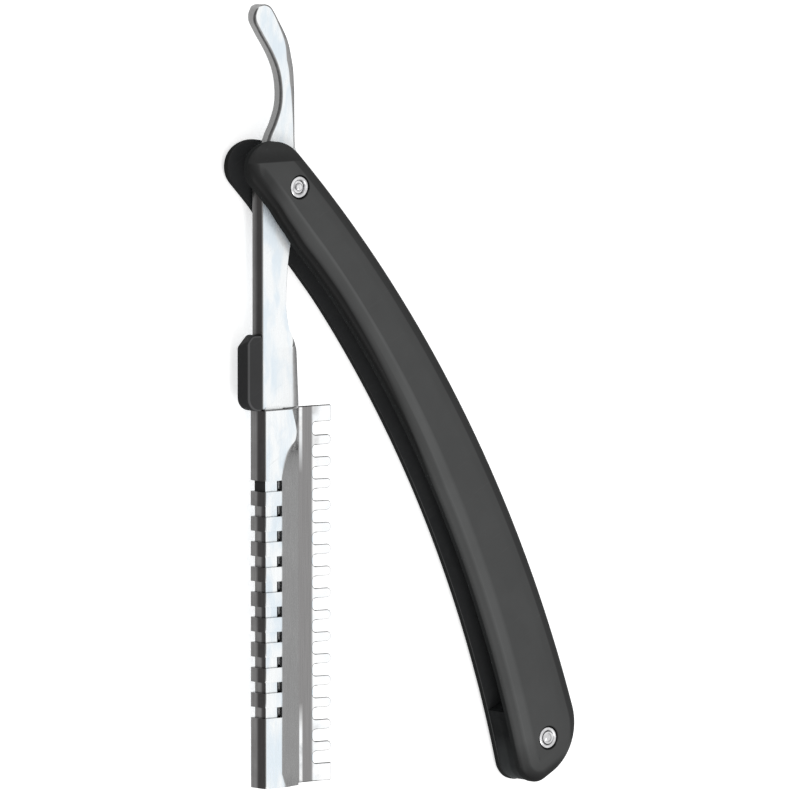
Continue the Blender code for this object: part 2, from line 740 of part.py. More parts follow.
def guard(parent):
    """The comb guard: a thin steel strip in front of the blade, creased so that its teeth tilt up."""
    name = "comb_guard"
    shape = bmesh.new()
    levels = (GUARD_RISE, GUARD_RISE + GUARD_THICKNESS)
    add_skin(shape, [[(x, y, z) for x, y in guard_outline()] for z in levels])
    crease = GUARD_ROOT - CREASE_STEP_BACK
    bmesh.ops.bisect_plane(
        shape,
        geom=[*shape.verts, *shape.edges, *shape.faces],
        dist=CUT_TOLERANCE,
        plane_co=(crease, 0, 0),
        plane_no=(1, 0, 0),
    )
    for vert in shape.verts:
        if vert.co.x > crease:
            vert.co.z += (vert.co.x - crease) * math.tan(TOOTH_TILT)
    piece(name, finished(name, shape), parent, metal(name, STEEL))


def slider_outline():
    """The slider seen on the flat of the shank: a cut top corner and a round lower one."""
    under = -SPINE_OFFSET - WEB_CLEARANCE
    crest = -SPINE_OFFSET - SLIDER_RISE
    round_centre = (crest + SLIDER_FOOT_ROUND, SLIDER_FOOT + SLIDER_FOOT_ROUND)
    return [
        (under, SLIDER_FOOT),
        (under, SLIDER_TOP),
        (crest + SLIDER_CORNER, SLIDER_TOP),
        (crest, SLIDER_TOP - SLIDER_CORNER),
        *arc(round_centre, SLIDER_FOOT_ROUND, math.pi, math.pi * 1.5, CORNER_STEPS),
    ]


def slider_web():
    """The web under the slider that runs in the groove of the shank."""
    half = WEB_THICKNESS / 2
    low = (-SPINE_OFFSET - WEB_CLEARANCE - OVERLAP, WEB_END, -half)
    return box("web", low, (WEB_FLOOR, WEB_TOP, half))


def slider_tongue():
    """The thin tongue from the web down into the holder."""
    half = TONGUE_THICKNESS / 2
    low = (INNER_SPINE + INSIDE_GAP, BLOCK_TOP - OVERLAP, -half)
    return box("tongue", low, (WEB_FLOOR - TONGUE_SET_BACK, WEB_END + OVERLAP, half))


def slider_block():
    """The block at the tongue's end, seen in the first window of the holder."""
    half, right = INNER_HALF - INSIDE_GAP, KNEE_AT_BODY - TONGUE_BLOCK_SETBACK
    return box("block", (INNER_SPINE + INSIDE_GAP, BLOCK_END, -half), (right, BLOCK_TOP, half))


def spring_pocket():
    half, under = SPRING_WIDTH / 2 + SPRING_POCKET_GAP, -SPINE_OFFSET - WEB_CLEARANCE
    depth = SPRING_RISE + SPRING_THICKNESS + SPRING_POCKET_GAP
    return box("pocket", (under - depth, POCKET_END, -half), (under + OVERRUN, POCKET_TOP, half))


def slider(parent):
    """The lock slider with its web, its tongue and the pocket for its spring."""
    name = "lock_slider"
    half = SLIDER_THICKNESS / 2
    grip = plate(name, slider_outline(), -half, half)
    made = piece(name, grip, parent, plastic(name, SLIDER_BLACK))
    rounding = made.modifiers.new("edges", "BEVEL")
    rounding.width = SLIDER_EDGE
    rounding.segments = 2
    rounding.limit_method = "ANGLE"
    for mesh in (slider_web(), slider_tongue(), slider_block()):
        combine(made, cutter(mesh.name, mesh, parent), "UNION")
    combine(made, cutter("pocket", spring_pocket(), parent), "DIFFERENCE")


def spring(parent):
    """The bowed leaf under the slider, whose crown presses on the spine of the shank."""
    name = "slider_spring"
    middle, half_length = (POCKET_TOP + POCKET_END) / 2, SPRING_LENGTH / 2
    radius = (half_length**2 + SPRING_RISE**2) / (2 * SPRING_RISE)
    crown = -SPINE_OFFSET - RUNNING_GAP
    centre = (crown - radius, middle)
    spread = math.asin(half_length / radius)
    outer = arc(centre, radius, -spread, spread, CORNER_STEPS * 2)
    inner = arc(centre, radius - SPRING_THICKNESS, spread, -spread, CORNER_STEPS * 2)
    half = SPRING_WIDTH / 2
    piece(name, plate(name, [*outer, *inner], -half, half), parent, metal(name, DARKER_STEEL))


def build_handle(parent):
    scale("handle_scale_top", 1, parent)
    scale("handle_scale_bottom", -1, parent)
    spacer(parent)
    for which, place in (("pivot", 0), ("end", PIN_DISTANCE)):
        pin(f"{which}_pin", place, parent)
        collar(f"{which}_collar_top", place, 1, parent)
        collar(f"{which}_collar_bottom", place, -1, parent)
    washer("pivot_washer_top", 1, parent)
    washer("pivot_washer_bottom", -1, parent)


def build_head(parent):
    bush(parent)
    shank(parent)
    holder(parent)
    spine_bar(parent)
    for name, depth in zip(("blade_peg_upper", "blade_peg_lower"), PEG_DEPTHS):
        peg(name, depth, parent)
    blade(parent)
    guard(parent)
    slider(parent)
    spring(parent)


def main():
    clear_scene()
    handle_frame = empty("handle_frame")
    handle_frame.location.z = HALF_HANDLE
    head_frame = empty("head_frame", handle_frame)
    head_frame.rotation_euler.z = OPEN_ANGLE
    build_handle(handle_frame)
    build_head(head_frame)


main()
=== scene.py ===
"""Folding hair styling razor with a comb guard, with its finishes, on a plain pale floor.

The razor lies on its side, partly opened. Its two curved scales hold a steel shank between them. The shank
has a curled tang at one end and, at the other, a folded steel holder that grips a blade and its comb guard.
A black slider on the spine locks them in. The handle is drawn along x from the pivot to the end pin. The
head is drawn in its own frame, with x from the spine to the teeth and y from the holder to the tang, and is
turned into place last.
"""

import math

import bmesh
import bpy
from bpy.props import FloatProperty, FloatVectorProperty, IntProperty, PointerProperty
from bpy.types import Operator, Panel, PropertyGroup
from mathutils import Euler, Matrix, Vector


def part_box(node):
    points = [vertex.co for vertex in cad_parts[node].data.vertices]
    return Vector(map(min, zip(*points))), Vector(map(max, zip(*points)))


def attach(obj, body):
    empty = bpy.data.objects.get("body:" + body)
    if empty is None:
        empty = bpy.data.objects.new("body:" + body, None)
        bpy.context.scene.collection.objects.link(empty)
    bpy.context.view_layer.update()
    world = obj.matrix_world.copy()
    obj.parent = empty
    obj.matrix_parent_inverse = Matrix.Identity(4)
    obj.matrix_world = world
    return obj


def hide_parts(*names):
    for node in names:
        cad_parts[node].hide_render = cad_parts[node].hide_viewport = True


bl_info = {
    "name": "Styling Razor",
    "version": (1, 0, 0),
    "blender": (4, 5, 0),
    "location": "View3D > Sidebar > Razor",
    "description": "Builds a folding styling razor with a comb guard, piece by piece",
    "category": "Add Mesh",
}

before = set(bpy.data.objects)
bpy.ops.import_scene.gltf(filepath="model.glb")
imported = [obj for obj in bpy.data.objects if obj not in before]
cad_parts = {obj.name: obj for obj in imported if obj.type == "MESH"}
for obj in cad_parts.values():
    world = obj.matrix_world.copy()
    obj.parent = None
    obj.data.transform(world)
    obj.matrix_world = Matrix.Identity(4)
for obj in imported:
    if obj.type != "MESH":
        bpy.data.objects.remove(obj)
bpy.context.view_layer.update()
MM = 0.001


def middle(node):
    """The middle of a CAD node's box."""
    low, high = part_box(node)
    return (low + high) / 2


# Places taken from the frame
MID_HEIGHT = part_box("handle_scale_top")[1].z / 2
PIN_DISTANCE = middle("end_pin").x
OPEN_ANGLE = math.radians(60.94)
HANDLE_PLACE = Matrix.Translation((0, 0, MID_HEIGHT))
HEAD_PLACE = HANDLE_PLACE @ Matrix.Rotation(OPEN_ANGLE, 4, "Z")

# How finely round shapes are drawn, what counts as one point, and how far a cutter passes what it cuts
FINEST_TURN = math.radians(4)
LONGEST_CHORD = 1.2 * MM
ROUND_STEPS = 96
TOUCHING = 0.0005 * MM
OVERRUN = 1 * MM

# Folds from which an edge is shaded sharp, is rounded as a square one, and is fully worn, and how much a
# large face counts in the shading
SHARP_ANGLE = math.radians(32)
SQUARE_ANGLE = math.radians(60)
WORN_ANGLE = math.radians(50)
LARGE_FACE_WEIGHT = 90


def length(name, size, description):
    """A size in millimetres as a property in Blender's own unit."""
    return FloatProperty(
        name=name, description=description, default=size * MM, min=0, precision=5, unit="LENGTH"
    )


def colour(name, red, green, blue, description):
    """A colour, as amounts of light from 0 to 1."""
    return FloatVectorProperty(
        name=name, description=description, default=(red, green, blue), min=0, max=1, size=3, subtype="COLOR"
    )


def strength(name, value, description):
    """A plain number that can't go below zero."""
    return FloatProperty(name=name, description=description, default=value, min=0)


class HandleSizes(PropertyGroup):
    """Sizes of the two scales and of what holds them together"""

    scale_thickness: length("Scale thickness", 2.05, "Thickness of one scale")
    round_width: length("Edge round width", 2.33, "How far the rounded edge reaches over the face")
    round_depth: length("Edge round depth", 1.25, "How far the rounded edge reaches down the side")
    seam_round: length("Seam round", 0.12, "Small rounding of the edge that faces the gap")
    spacer_wall: length("Spacer wall", 8.12, "From the hollow of the end spacer to the end pin's axis")
    pin_radius: length("Pin radius", 1.1, "Radius of both pins")
    collar_width: length("Collar width", 0.77, "Width of the ring round a pin's end")
    collar_thickness: length("Collar thickness", 0.8, "Thickness of that ring")
    washer_radius: length("Washer radius", 3.4, "Radius of the discs beside the shank")


class ShankSizes(PropertyGroup):
    """Sizes of the steel shank and its tang"""

    thickness: length("Shank thickness", 2.9, "Thickness of the shank")
    reach: length("Shank length", 38.3, "From the pivot to the holder")
    spine: length("Spine distance", 6.07, "From the pivot's axis to the spine")
    tang_height: length("Tang height", 29.4, "From the pivot to the tang's curled end")
    tang_curl: length("Tang curl", 5.2, "How far the tang curls to the spine's side")
    tang_width: length("Tang width", 4.5, "Width of the tang at its tip")
    tang_thickness: length("Tang thickness", 2.2, "Thickness of the tang")


class HolderSizes(PropertyGroup):
    """Sizes of the folded sheet holder and the bar inside it"""

    reach: length("Holder length", 65.8, "Length of the holder")
    thickness: length("Holder thickness", 4.2, "Thickness over the two faces")
    sheet: length("Sheet thickness", 0.4, "Thickness of the folded sheet")
    window_count: IntProperty(name="Windows", description="Windows through the spine", default=10, min=2)
    window_height: length("Window height", 1.86, "Height of one window")
    window_start: length("First window", 12.4, "From the holder's top to the first window")
    window_foot: length("Last window", 12.21, "From the last window to the holder's foot")


class EdgeSizes(PropertyGroup):
    """Sizes of the blade and of its comb guard"""

    blade_width: length("Blade width", 7.55, "Width of the blade")
    blade_thickness: length("Blade thickness", 0.25, "Thickness of the blade")
    guard_thickness: length("Guard thickness", 0.3, "Thickness of the comb guard")
    tooth_count: IntProperty(name="Teeth", description="Round-ended teeth", default=15, min=3)
    tooth_tilt: FloatProperty(
        name="Tooth tilt", description="How far the teeth tilt up", default=math.radians(6), subtype="ANGLE"
    )


class SliderSizes(PropertyGroup):
    """Sizes of the lock slider"""

    reach: length("Slider length", 13.1, "Length of the slider's grip")
    rise: length("Slider rise", 3.19, "How far the grip stands out from the spine")
    thickness: length("Slider thickness", 3.4, "Thickness of the grip")
    edge: length("Slider edge", 0.42, "Rounding of the grip's edges")


class Finishes(PropertyGroup):
    """Colours of the razor's materials"""

    scale_face: colour("Scale face", 0.062, 0.063, 0.063, "Moulded face of the scales")
    # Painted shade: the scales' sides take a darker colour than their face
    scale_side_shade: colour("Scale side", 0.018, 0.019, 0.019, "Sides of the scales")
    # Painted shade: the faces in the gap are darker than the outer face
    gap_face_shade: colour("Gap face", 0.032, 0.033, 0.034, "Surfaces of the scales that look into the gap")
    spacer_face: colour("Spacer", 0.040, 0.0425, 0.0435, "End spacer between the scales")
    slider_face: colour("Slider face", 0.040, 0.040, 0.041, "Flat sides of the slider")
    # A painted highlight along the slider's rounded edges, and painted shade on its outer side
    slider_edge_highlight: colour("Slider edge", 0.085, 0.085, 0.087, "Worn edges of the slider")
    slider_side_shade: colour("Slider side", 0.030, 0.030, 0.031, "Outer side of the slider")
    steel_pale: colour("Pale steel", 0.93, 0.95, 0.955, "Polished faces of the head")
    steel_blue: colour("Cool steel", 0.765, 0.845, 0.905, "Cooler patches on the polished faces")
    # Painted light and shade on the spines: lighter along the lower edge, darker along the upper
    spine_lower_light: colour("Spine, lower", 0.138, 0.136, 0.136, "Brushed spine, along its lower edge")
    spine_upper_shade: colour("Spine, upper", 0.029, 0.027, 0.027, "Brushed spine, along its upper edge")
    # Painted shade on the guard's strip up to the crease
    guard_strip_shade: colour("Guard root", 0.26, 0.255, 0.255, "Satin strip of the comb guard")
    # The cut sides' own duller colour, also used for the painted shade and shadow at the roots of the teeth
    guard_side_and_shadow: colour("Guard side", 0.16, 0.16, 0.16, "Cut sides of the teeth")
    collar_steel: colour("Collar steel", 0.80, 0.80, 0.81, "Pins and collars")
    peg_steel: colour("Peg steel", 0.46, 0.45, 0.45, "Pegs inside the holder")
    bronze: colour("Bronze", 0.45, 0.34, 0.20, "Washers and bush")


class StageLook(PropertyGroup):
    """Floor, light and camera"""

    floor_width: length("Floor width", 12000, "Width of the floor")
    floor_colour: colour("Floor colour", 0.80, 0.80, 0.80, "Colour of the floor")
    floor_lift: strength("Floor lift", 0.55, "Light that the floor adds where it is seen")
    sky_high: strength("Light overhead", 1.05, "Strength of the light above")
    sky_low: strength("Light low down", 0.5, "Strength of the light near the floor")
    key_power: strength("Key lamp", 0.8, "Power of the soft lamp")


# Shapes of the handle that the user wouldn't change
HANDLE_PIVOT_END = 10.5 * MM
HANDLE_FAR_END = 6.25 * MM
PIVOT_CONVEX_ROUND = 7.7 * MM
PIVOT_CONCAVE_ROUND = 4.1 * MM
FAR_CONVEX_ROUND = 9.6 * MM
FAR_CONCAVE_ROUND = 3.9 * MM
HANDLE_GAP = 4.5 * MM
BORE_CLEARANCE = 0.08 * MM
COLLAR_CLEARANCE = 0.12 * MM
RUNNING_GAP = 0.05 * MM
BORE_LIP = 0.1 * MM
BUSH_WALL = 0.8 * MM
SIDES = ((1, "top"), (-1, "bottom"))

# A long edge of the handle: its height at the pivot, its further rise to the crest, and the crest's place as
# a share of the distance between the pins
CONVEX_EDGE = (4.5 * MM, 8.15 * MM, 0.559)
CONCAVE_EDGE = (-6.95 * MM, 7.3 * MM, 0.499)


def long_edge(at_pivot, rise, crest_share):
    """Centre and radius of a long edge of the handle."""
    crest = PIN_DISTANCE * crest_share
    radius = (crest**2 + rise**2) / (2 * rise)
    return (crest, at_pivot + rise - radius), radius


CONVEX_CENTRE, CONVEX_RADIUS = long_edge(*CONVEX_EDGE)
CONCAVE_CENTRE, CONCAVE_RADIUS = long_edge(*CONCAVE_EDGE)


# Drawing


def trace(shape, start, moves, closed=True):
    """Draws an outline. A move is a point to go straight to, or a centre and the angle to turn about it."""
    first = last = shape.verts.new((*start, 0))
    for x, y, *turn in moves:
        if turn:
            radius = math.dist(last.co.xy, (x, y))
            steps = math.ceil(abs(turn[0]) * max(1 / FINEST_TURN, radius / LONGEST_CHORD))
            made = bmesh.ops.spin(
                shape,
                geom=[last],
                cent=(x, y, 0),
                axis=(0, 0, 1),
                angle=turn[0],
                steps=steps,
                use_merge=False,
            )
            last = next(thing for thing in made["geom_last"] if isinstance(thing, bmesh.types.BMVert))
        else:
            last = bmesh.ops.extrude_vert_indiv(shape, verts=[last])["verts"][0]
            last.co.xy = x, y
    if closed:
        if math.dist(last.co, first.co) > TOUCHING:
            shape.edges.new((last, first))
        bmesh.ops.remove_doubles(shape, verts=shape.verts, dist=TOUCHING)


def plate(start, moves, low, high):
    """A flat outline given thickness along z."""
    shape = bmesh.new()
    trace(shape, start, moves)
    made = bmesh.ops.edgeloop_fill(shape, edges=shape.edges)
    bmesh.ops.translate(shape, verts=shape.verts, vec=(0, 0, low))
    made = bmesh.ops.extrude_face_region(shape, geom=made["faces"])
    raised = [thing for thing in made["geom"] if isinstance(thing, bmesh.types.BMVert)]
    bmesh.ops.translate(shape, verts=raised, vec=(0, 0, high - low))
    bmesh.ops.recalc_face_normals(shape, faces=shape.faces)
    return shape


def bar(back, front, low, high, half):
    """A straight bar along y, as thick below its middle as above it."""
    return plate((back, low), ((front, low), (front, high), (back, high)), -half, half)


def round_edges(shape, edges, width, segments=2):
    """Rounds the edges off by the width."""
    bmesh.ops.bevel(
        shape,
        geom=list(edges),
        offset=width,
        offset_type="OFFSET",
        affect="EDGES",
        segments=segments,
        profile=0.5,
        material=-1,
        clamp_overlap=True,
    )


def rim(shape, height):
    """The edges that lie at this height."""
    return [edge for edge in shape.edges if all(abs(vert.co.z - height) < TOUCHING for vert in edge.verts)]


def turned(start, moves, closed=True, steps=ROUND_STEPS):
    """A round piece on the z axis, from a profile whose x is the radius and whose y is the height."""
    shape = bmesh.new()
    trace(shape, start, moves, closed)
    upright = Matrix.Rotation(math.pi / 2, 3, "X")
    bmesh.ops.rotate(shape, verts=shape.verts, cent=(0, 0, 0), matrix=upright)
    around = [*shape.verts, *shape.edges]
    bmesh.ops.spin(
        shape, geom=around, cent=(0, 0, 0), axis=(0, 0, 1), angle=math.tau, steps=steps, use_merge=True
    )
    bmesh.ops.remove_doubles(shape, verts=shape.verts, dist=TOUCHING)
    bmesh.ops.recalc_face_normals(shape, faces=shape.faces)
    return shape


def rod(radius, half, steps=ROUND_STEPS):
    """A round rod on the z axis, as long below its middle as above it."""
    return turned((0, -half), ((radius, -half), (radius, half), (0, half)), closed=False, steps=steps)


def tube(inner, outer, low, high):
    """A ring round the z axis with a square section."""
    return turned((inner, low), ((outer, low), (outer, high), (inner, high)))


def turned_over(shape, side):
    """The shape as it is for the upper side, and upside down for the lower one."""
    bmesh.ops.scale(shape, verts=shape.verts, vec=(1, 1, side))
    return shape


def quarter(radius, steps):
    """Points round a corner, from its flat face to its side, each as a place inwards and a drop."""
    for i in range(steps + 1):
        turn = math.pi / 2 * i / steps
        yield radius * (1 - math.sin(turn)), radius * (1 - math.cos(turn))


def both_sides(upper):
    """The points of a section's upper half, and the same ones below on the way back."""
    return [*upper, *((x, -z) for x, z in reversed(upper))]


def skin(sections):
    """A closed body through sections that all have the same number of points."""
    columns, rows = len(sections[0]), len(sections) - 1
    shape = bmesh.new()
    bmesh.ops.create_grid(shape, x_segments=columns, y_segments=rows, size=1)
    for vert in shape.verts:
        column = round((vert.co.x + 1) / 2 * columns)
        row = round((vert.co.y + 1) / 2 * rows)
        vert.co = sections[row][column % columns]
    bmesh.ops.remove_doubles(shape, verts=shape.verts, dist=TOUCHING / 10)
    ends = [edge for edge in shape.edges if edge.is_boundary]
    bmesh.ops.edgeloop_fill(shape, edges=ends)
    bmesh.ops.recalc_face_normals(shape, faces=shape.faces)
    return shape


def smooth_through(points, steps):
    """A smooth curve through the points, with some steps from each to the next."""
    ends = [2 * points[0] - points[1], *points, 2 * points[-1] - points[-2]]
    made = []
    for before, start, end, after in zip(ends, ends[1:], ends[2:], ends[3:]):
        for i in range(steps):
            t = i / steps
            second = 2 * before - 5 * start + 4 * end - after
            third = 3 * start - before - 3 * end + after
            made.append((2 * start + (end - before) * t + second * t**2 + third * t**3) / 2)
    return [*made, points[-1]]


def linked(name, data):
    """A new object of the scene with this data."""
    made = bpy.data.objects.new(name, data)
    bpy.context.scene.collection.objects.link(made)
    return made


def as_object(name, shape, finishes=()):
    """The shape as an object of the scene."""
    mesh = bpy.data.meshes.new(name)
    shape.to_mesh(mesh)
    shape.free()
    for finish in finishes:
        mesh.materials.append(finish)
    return linked(name, mesh)


def combined(shape, *others):
    """The shape after its joins and cuts, each given as UNION or DIFFERENCE and a shape."""
    base = as_object("helper", shape)
    helpers = [base]
    for operation, other in others:
        helpers.append(as_object("helper", other))
        step = base.modifiers.new(operation.lower(), "BOOLEAN")
        step.operation, step.solver, step.object = operation, "EXACT", helpers[-1]
    seen = base.evaluated_get(bpy.context.evaluated_depsgraph_get())
    result = bmesh.new()
    result.from_mesh(seen.to_mesh())
    seen.to_mesh_clear()
    for used in helpers:
        mesh = used.data
        bpy.data.objects.remove(used)
        bpy.data.meshes.remove(mesh)
    bmesh.ops.remove_doubles(result, verts=result.verts, dist=TOUCHING / 10)
    return result


def sharp_edges(shape, angle=SHARP_ANGLE):
    """Outer edges that fold more than the angle."""
    return [edge for edge in shape.edges if edge.is_manifold and edge.calc_face_angle_signed(0) > angle]


def mark_edges(shape):
    """Stores how sharply each point stands out, which the wear on edges reads."""
    layer = shape.verts.layers.float.new("edge")
    for vert in shape.verts:
        folds = [edge.calc_face_angle_signed(0) for edge in vert.link_edges if edge.is_manifold]
        vert[layer] = min(1, max((0, *folds)) / WORN_ANGLE)


def add_piece(name, shape, place, body, nodes, finishes, sharp=SHARP_ANGLE):
    """Turns the shape into a piece of the razor that stands for the given CAD nodes."""
    bmesh.ops.transform(shape, matrix=place, verts=shape.verts)
    bmesh.ops.recalc_face_normals(shape, faces=shape.faces)
    mark_edges(shape)
    made = as_object(name, shape, finishes)
    made.data.shade_smooth()
    made.data.set_sharp_from_angle(angle=sharp)
    even = made.modifiers.new("even shading", "WEIGHTED_NORMAL")
    even.keep_sharp, even.weight = True, LARGE_FACE_WEIGHT
    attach(made, body)
    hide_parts(*nodes)


def paint_sides(shape, chosen):
    """Gives the chosen faces the second of the piece's materials."""
    for face in shape.faces:
        if chosen(face):
            face.material_index = 1


# Materials

# What most of a noise lies between, and the turn and the fineness of each run of stray scratches
TEXTURE_SPAN = (0.3, 0.7)
SCRATCH_RUNS = ((0.4, 3000.0), (-0.9, 3700.0))


def node(tree, kind, sockets=None, **settings):
    """A shader node with its settings, and its sockets given values or links."""
    made = tree.nodes.new("ShaderNode" + kind)
    for name, value in settings.items():
        setattr(made, name, value)
    for name, value in (sockets or {}).items():
        if isinstance(value, bpy.types.NodeSocket):
            tree.links.new(value, made.inputs[name])
        else:
            made.inputs[name].default_value = value
    return made


def maths(tree, operation, a, b=0.0, clamp=False):
    """What the operation makes of the values."""
    return node(tree, "Math", {0: a, 1: b}, operation=operation, use_clamp=clamp).outputs[0]


def times(tree, a, b):
    """The values multiplied."""
    return maths(tree, "MULTIPLY", a, b)


def split(tree, vector):
    """The vector's three numbers, to be read as X, Y and Z."""
    return node(tree, "SeparateXYZ", {0: vector}).outputs


def paint(colour):
    """The colour as a socket takes it."""
    return colour if isinstance(colour, bpy.types.NodeSocket) else (*colour, 1)


def blend(tree, share, a, b):
    """Colour a turning to colour b with the share."""
    return node(tree, "Mix", {0: share, 6: paint(a), 7: paint(b)}, data_type="RGBA").outputs[2]


def marked(tree, tone, mask, most, mark):
    """The tone with the colour of a mark over it, which covers at most this share of it."""
    return blend(tree, times(tree, mask, most), tone, mark)


def tint(tree, colour, factor):
    """The colour multiplied by the factor, which is a grey of its own."""
    sockets = {0: 1.0, 6: paint(colour), 7: factor}
    return node(tree, "Mix", sockets, data_type="RGBA", blend_type="MULTIPLY").outputs[2]


def ramp(tree, value, stops):
    """A grey that follows the value through the stops, each a place from 0 to 1 and a grey."""
    made = node(tree, "ValToRGB", {"Fac": value})
    elements = made.color_ramp.elements
    for _ in stops[2:]:
        elements.new(0.5)
    for element, (place, grey) in zip(elements, stops):
        element.position, element.color = place, (grey, grey, grey, 1)
    return made.outputs["Color"]


def spread(tree, value, low, high, to_low=0.0, to_high=1.0, smooth=False):
    """The value moved from one span to another, and kept inside it."""
    sockets = {"Value": value, "From Min": low, "From Max": high, "To Min": to_low, "To Max": to_high}
    kind = "SMOOTHSTEP" if smooth else "LINEAR"
    return node(tree, "MapRange", sockets, interpolation_type=kind).outputs["Result"]


def varied(tree, tone, value, *stops):
    """The tone multiplied by a grey that follows the value through the stops."""
    return tint(tree, tone, ramp(tree, value, stops))


def uneven(tree, texture, low, high):
    """A roughness that a texture moves from low to high."""
    return spread(tree, texture, *TEXTURE_SPAN, low, high)


def group(name, inputs, outputs, build):
    """A node group, built once. Inputs are names and defaults, and outputs are names."""
    if name in bpy.data.node_groups:
        return bpy.data.node_groups[name]
    tree = bpy.data.node_groups.new(name, "ShaderNodeTree")
    for label, default in inputs.items():
        socket = tree.interface.new_socket(label, in_out="INPUT", socket_type="NodeSocketFloat")
        socket.default_value = default
    for label in outputs:
        tree.interface.new_socket(label, in_out="OUTPUT", socket_type="NodeSocketFloat")
    values = build(tree, tree.nodes.new("NodeGroupInput").outputs)
    end = tree.nodes.new("NodeGroupOutput")
    for label, value in zip(outputs, values):
        tree.links.new(value, end.inputs[label])
    return tree


def effect(tree, kind, **inputs):
    """One of the shared effects, placed in a material with its own values."""
    sockets = {name.capitalize(): value for name, value in inputs.items()}
    return node(tree, "Group", sockets, node_tree=kind()).outputs


def here(tree):
    """Where a point of the surface lies."""
    return node(tree, "TexCoord").outputs["Object"]


def facing(tree):
    """The way that the surface faces."""
    return node(tree, "TexCoord").outputs["Normal"]


def lean_to(tree, direction):
    """How far the surface leans to the direction, from -1 to 1."""
    return node(tree, "VectorMath", {0: facing(tree), 1: direction}, operation="DOT_PRODUCT").outputs["Value"]


def own_place(tree):
    """Where a point lies in the head's frame."""
    return node(tree, "Mapping", {"Vector": here(tree), "Rotation": (0, 0, -OPEN_ANGLE)}).outputs["Vector"]


def stretched(tree, across, along):
    """A place in the head's frame, with its numbers multiplied across the head and along it."""
    scale = node(tree, "CombineXYZ", {0: across, 1: along, 2: across}).outputs[0]
    return node(tree, "VectorMath", {0: own_place(tree), 1: scale}, operation="MULTIPLY").outputs[0]


def noise(tree, place, scale=1.0, **more):
    """Noise from 0 to 1 at the place."""
    return node(tree, "TexNoise", {"Vector": place, "Scale": scale, **more}).outputs["Fac"]


def brushed_grain():
    """Long fine scratches left by brushing along the head."""

    def build(tree, given):
        place = stretched(tree, given["Across"], given["Along"])
        return [noise(tree, place, Detail=3.0, Roughness=0.6)]

    return group("brushed_grain", {"Across": 9000.0, "Along": 260.0}, ["Grain"], build)


def soft_patches():
    """Broad soft patches of tone."""

    def build(tree, given):
        place = stretched(tree, 1.0, given["Along"])
        cloud = noise(tree, place, given["Scale"], Detail=3.0, Roughness=0.55, Distortion=0.4)
        return [spread(tree, cloud, given["Low"], given["High"], smooth=True)]

    return group("soft_patches", {"Scale": 450.0, "Along": 1.0, "Low": 0.35, "High": 0.65}, ["Patch"], build)


def fine_speckle():
    """The fine matt texture of a moulded surface."""

    def build(tree, given):
        return [noise(tree, here(tree), given["Scale"], Detail=2.0)]

    return group("fine_speckle", {"Scale": 9000.0}, ["Speckle"], build)


def upright_share():
    """1 where a surface faces up or down, and 0 where it faces sideways."""

    def build(tree, given):
        flat = maths(tree, "ABSOLUTE", split(tree, facing(tree))["Z"])
        return [flat, spread(tree, flat, given["Low"], given["High"], smooth=True)]

    return group("upright_share", {"Low": 0.5, "High": 0.95}, ["Upright", "Share"], build)


def edge_wear():
    """Broken wear along the edges that stand out."""

    def build(tree, given):
        edge = node(tree, "Attribute", attribute_name="edge").outputs["Fac"]
        broken = spread(tree, noise(tree, here(tree), given["Scale"], Detail=4.0), 0.38, 0.62)
        return [maths(tree, "MULTIPLY", times(tree, edge, broken), given["Amount"], clamp=True)]

    return group("edge_wear", {"Scale": 900.0, "Amount": 1.0}, ["Wear"], build)


def stray_scratches():
    """A few thin scratches that run anyhow."""

    def build(tree, given):
        marks = []
        for turn, across in SCRATCH_RUNS:
            sockets = {"Vector": here(tree), "Rotation": (0.3, 0.2, turn), "Scale": (across, 110.0, across)}
            along = node(tree, "Mapping", sockets).outputs["Vector"]
            marks.append(spread(tree, noise(tree, along, Detail=1.0), given["Rare"], 0.80))
        return [maths(tree, "MAXIMUM", *marks)]

    return group("stray_scratches", {"Rare": 0.70}, ["Scratch"], build)


def material(name):
    """An empty material with its shader."""
    made = bpy.data.materials.new(name)
    made.use_nodes = True
    tree = made.node_tree
    return made, tree, tree.nodes["Principled BSDF"]


def dress(tree, shader, tone, roughness, relief, depth, share=0.4, metal=1.0):
    """Gives the shader its colour, its roughness, and a share of the relief of a texture this deep."""
    tree.links.new(tone, shader.inputs["Base Color"])
    tree.links.new(roughness, shader.inputs["Roughness"])
    shader.inputs["Metallic"].default_value = metal
    bump = node(tree, "Bump", {"Height": relief, "Distance": depth, "Strength": share})
    tree.links.new(bump.outputs["Normal"], shader.inputs["Normal"])


# Marks on the surfaces, how deep their textures are, and the plastic's roughness
WORN_PLASTIC, SCRATCHED_PLASTIC = (0.10, 0.10, 0.10), (0.12, 0.12, 0.12)
BRUSHED_STEEL, WORN_STEEL, SCRATCHED_STEEL = (0.62, 0.66, 0.70), (0.80, 0.80, 0.80), (0.45, 0.46, 0.47)
WORN_METAL = (0.9, 0.9, 0.9)
PATCH_SHADE = 0.72
MATT_DEPTH = 0.005 * MM
GRAIN_DEPTH = 0.003 * MM
DENT_DEPTH = 0.006 * MM
PLASTIC_ROUGH = (0.36, 0.48)

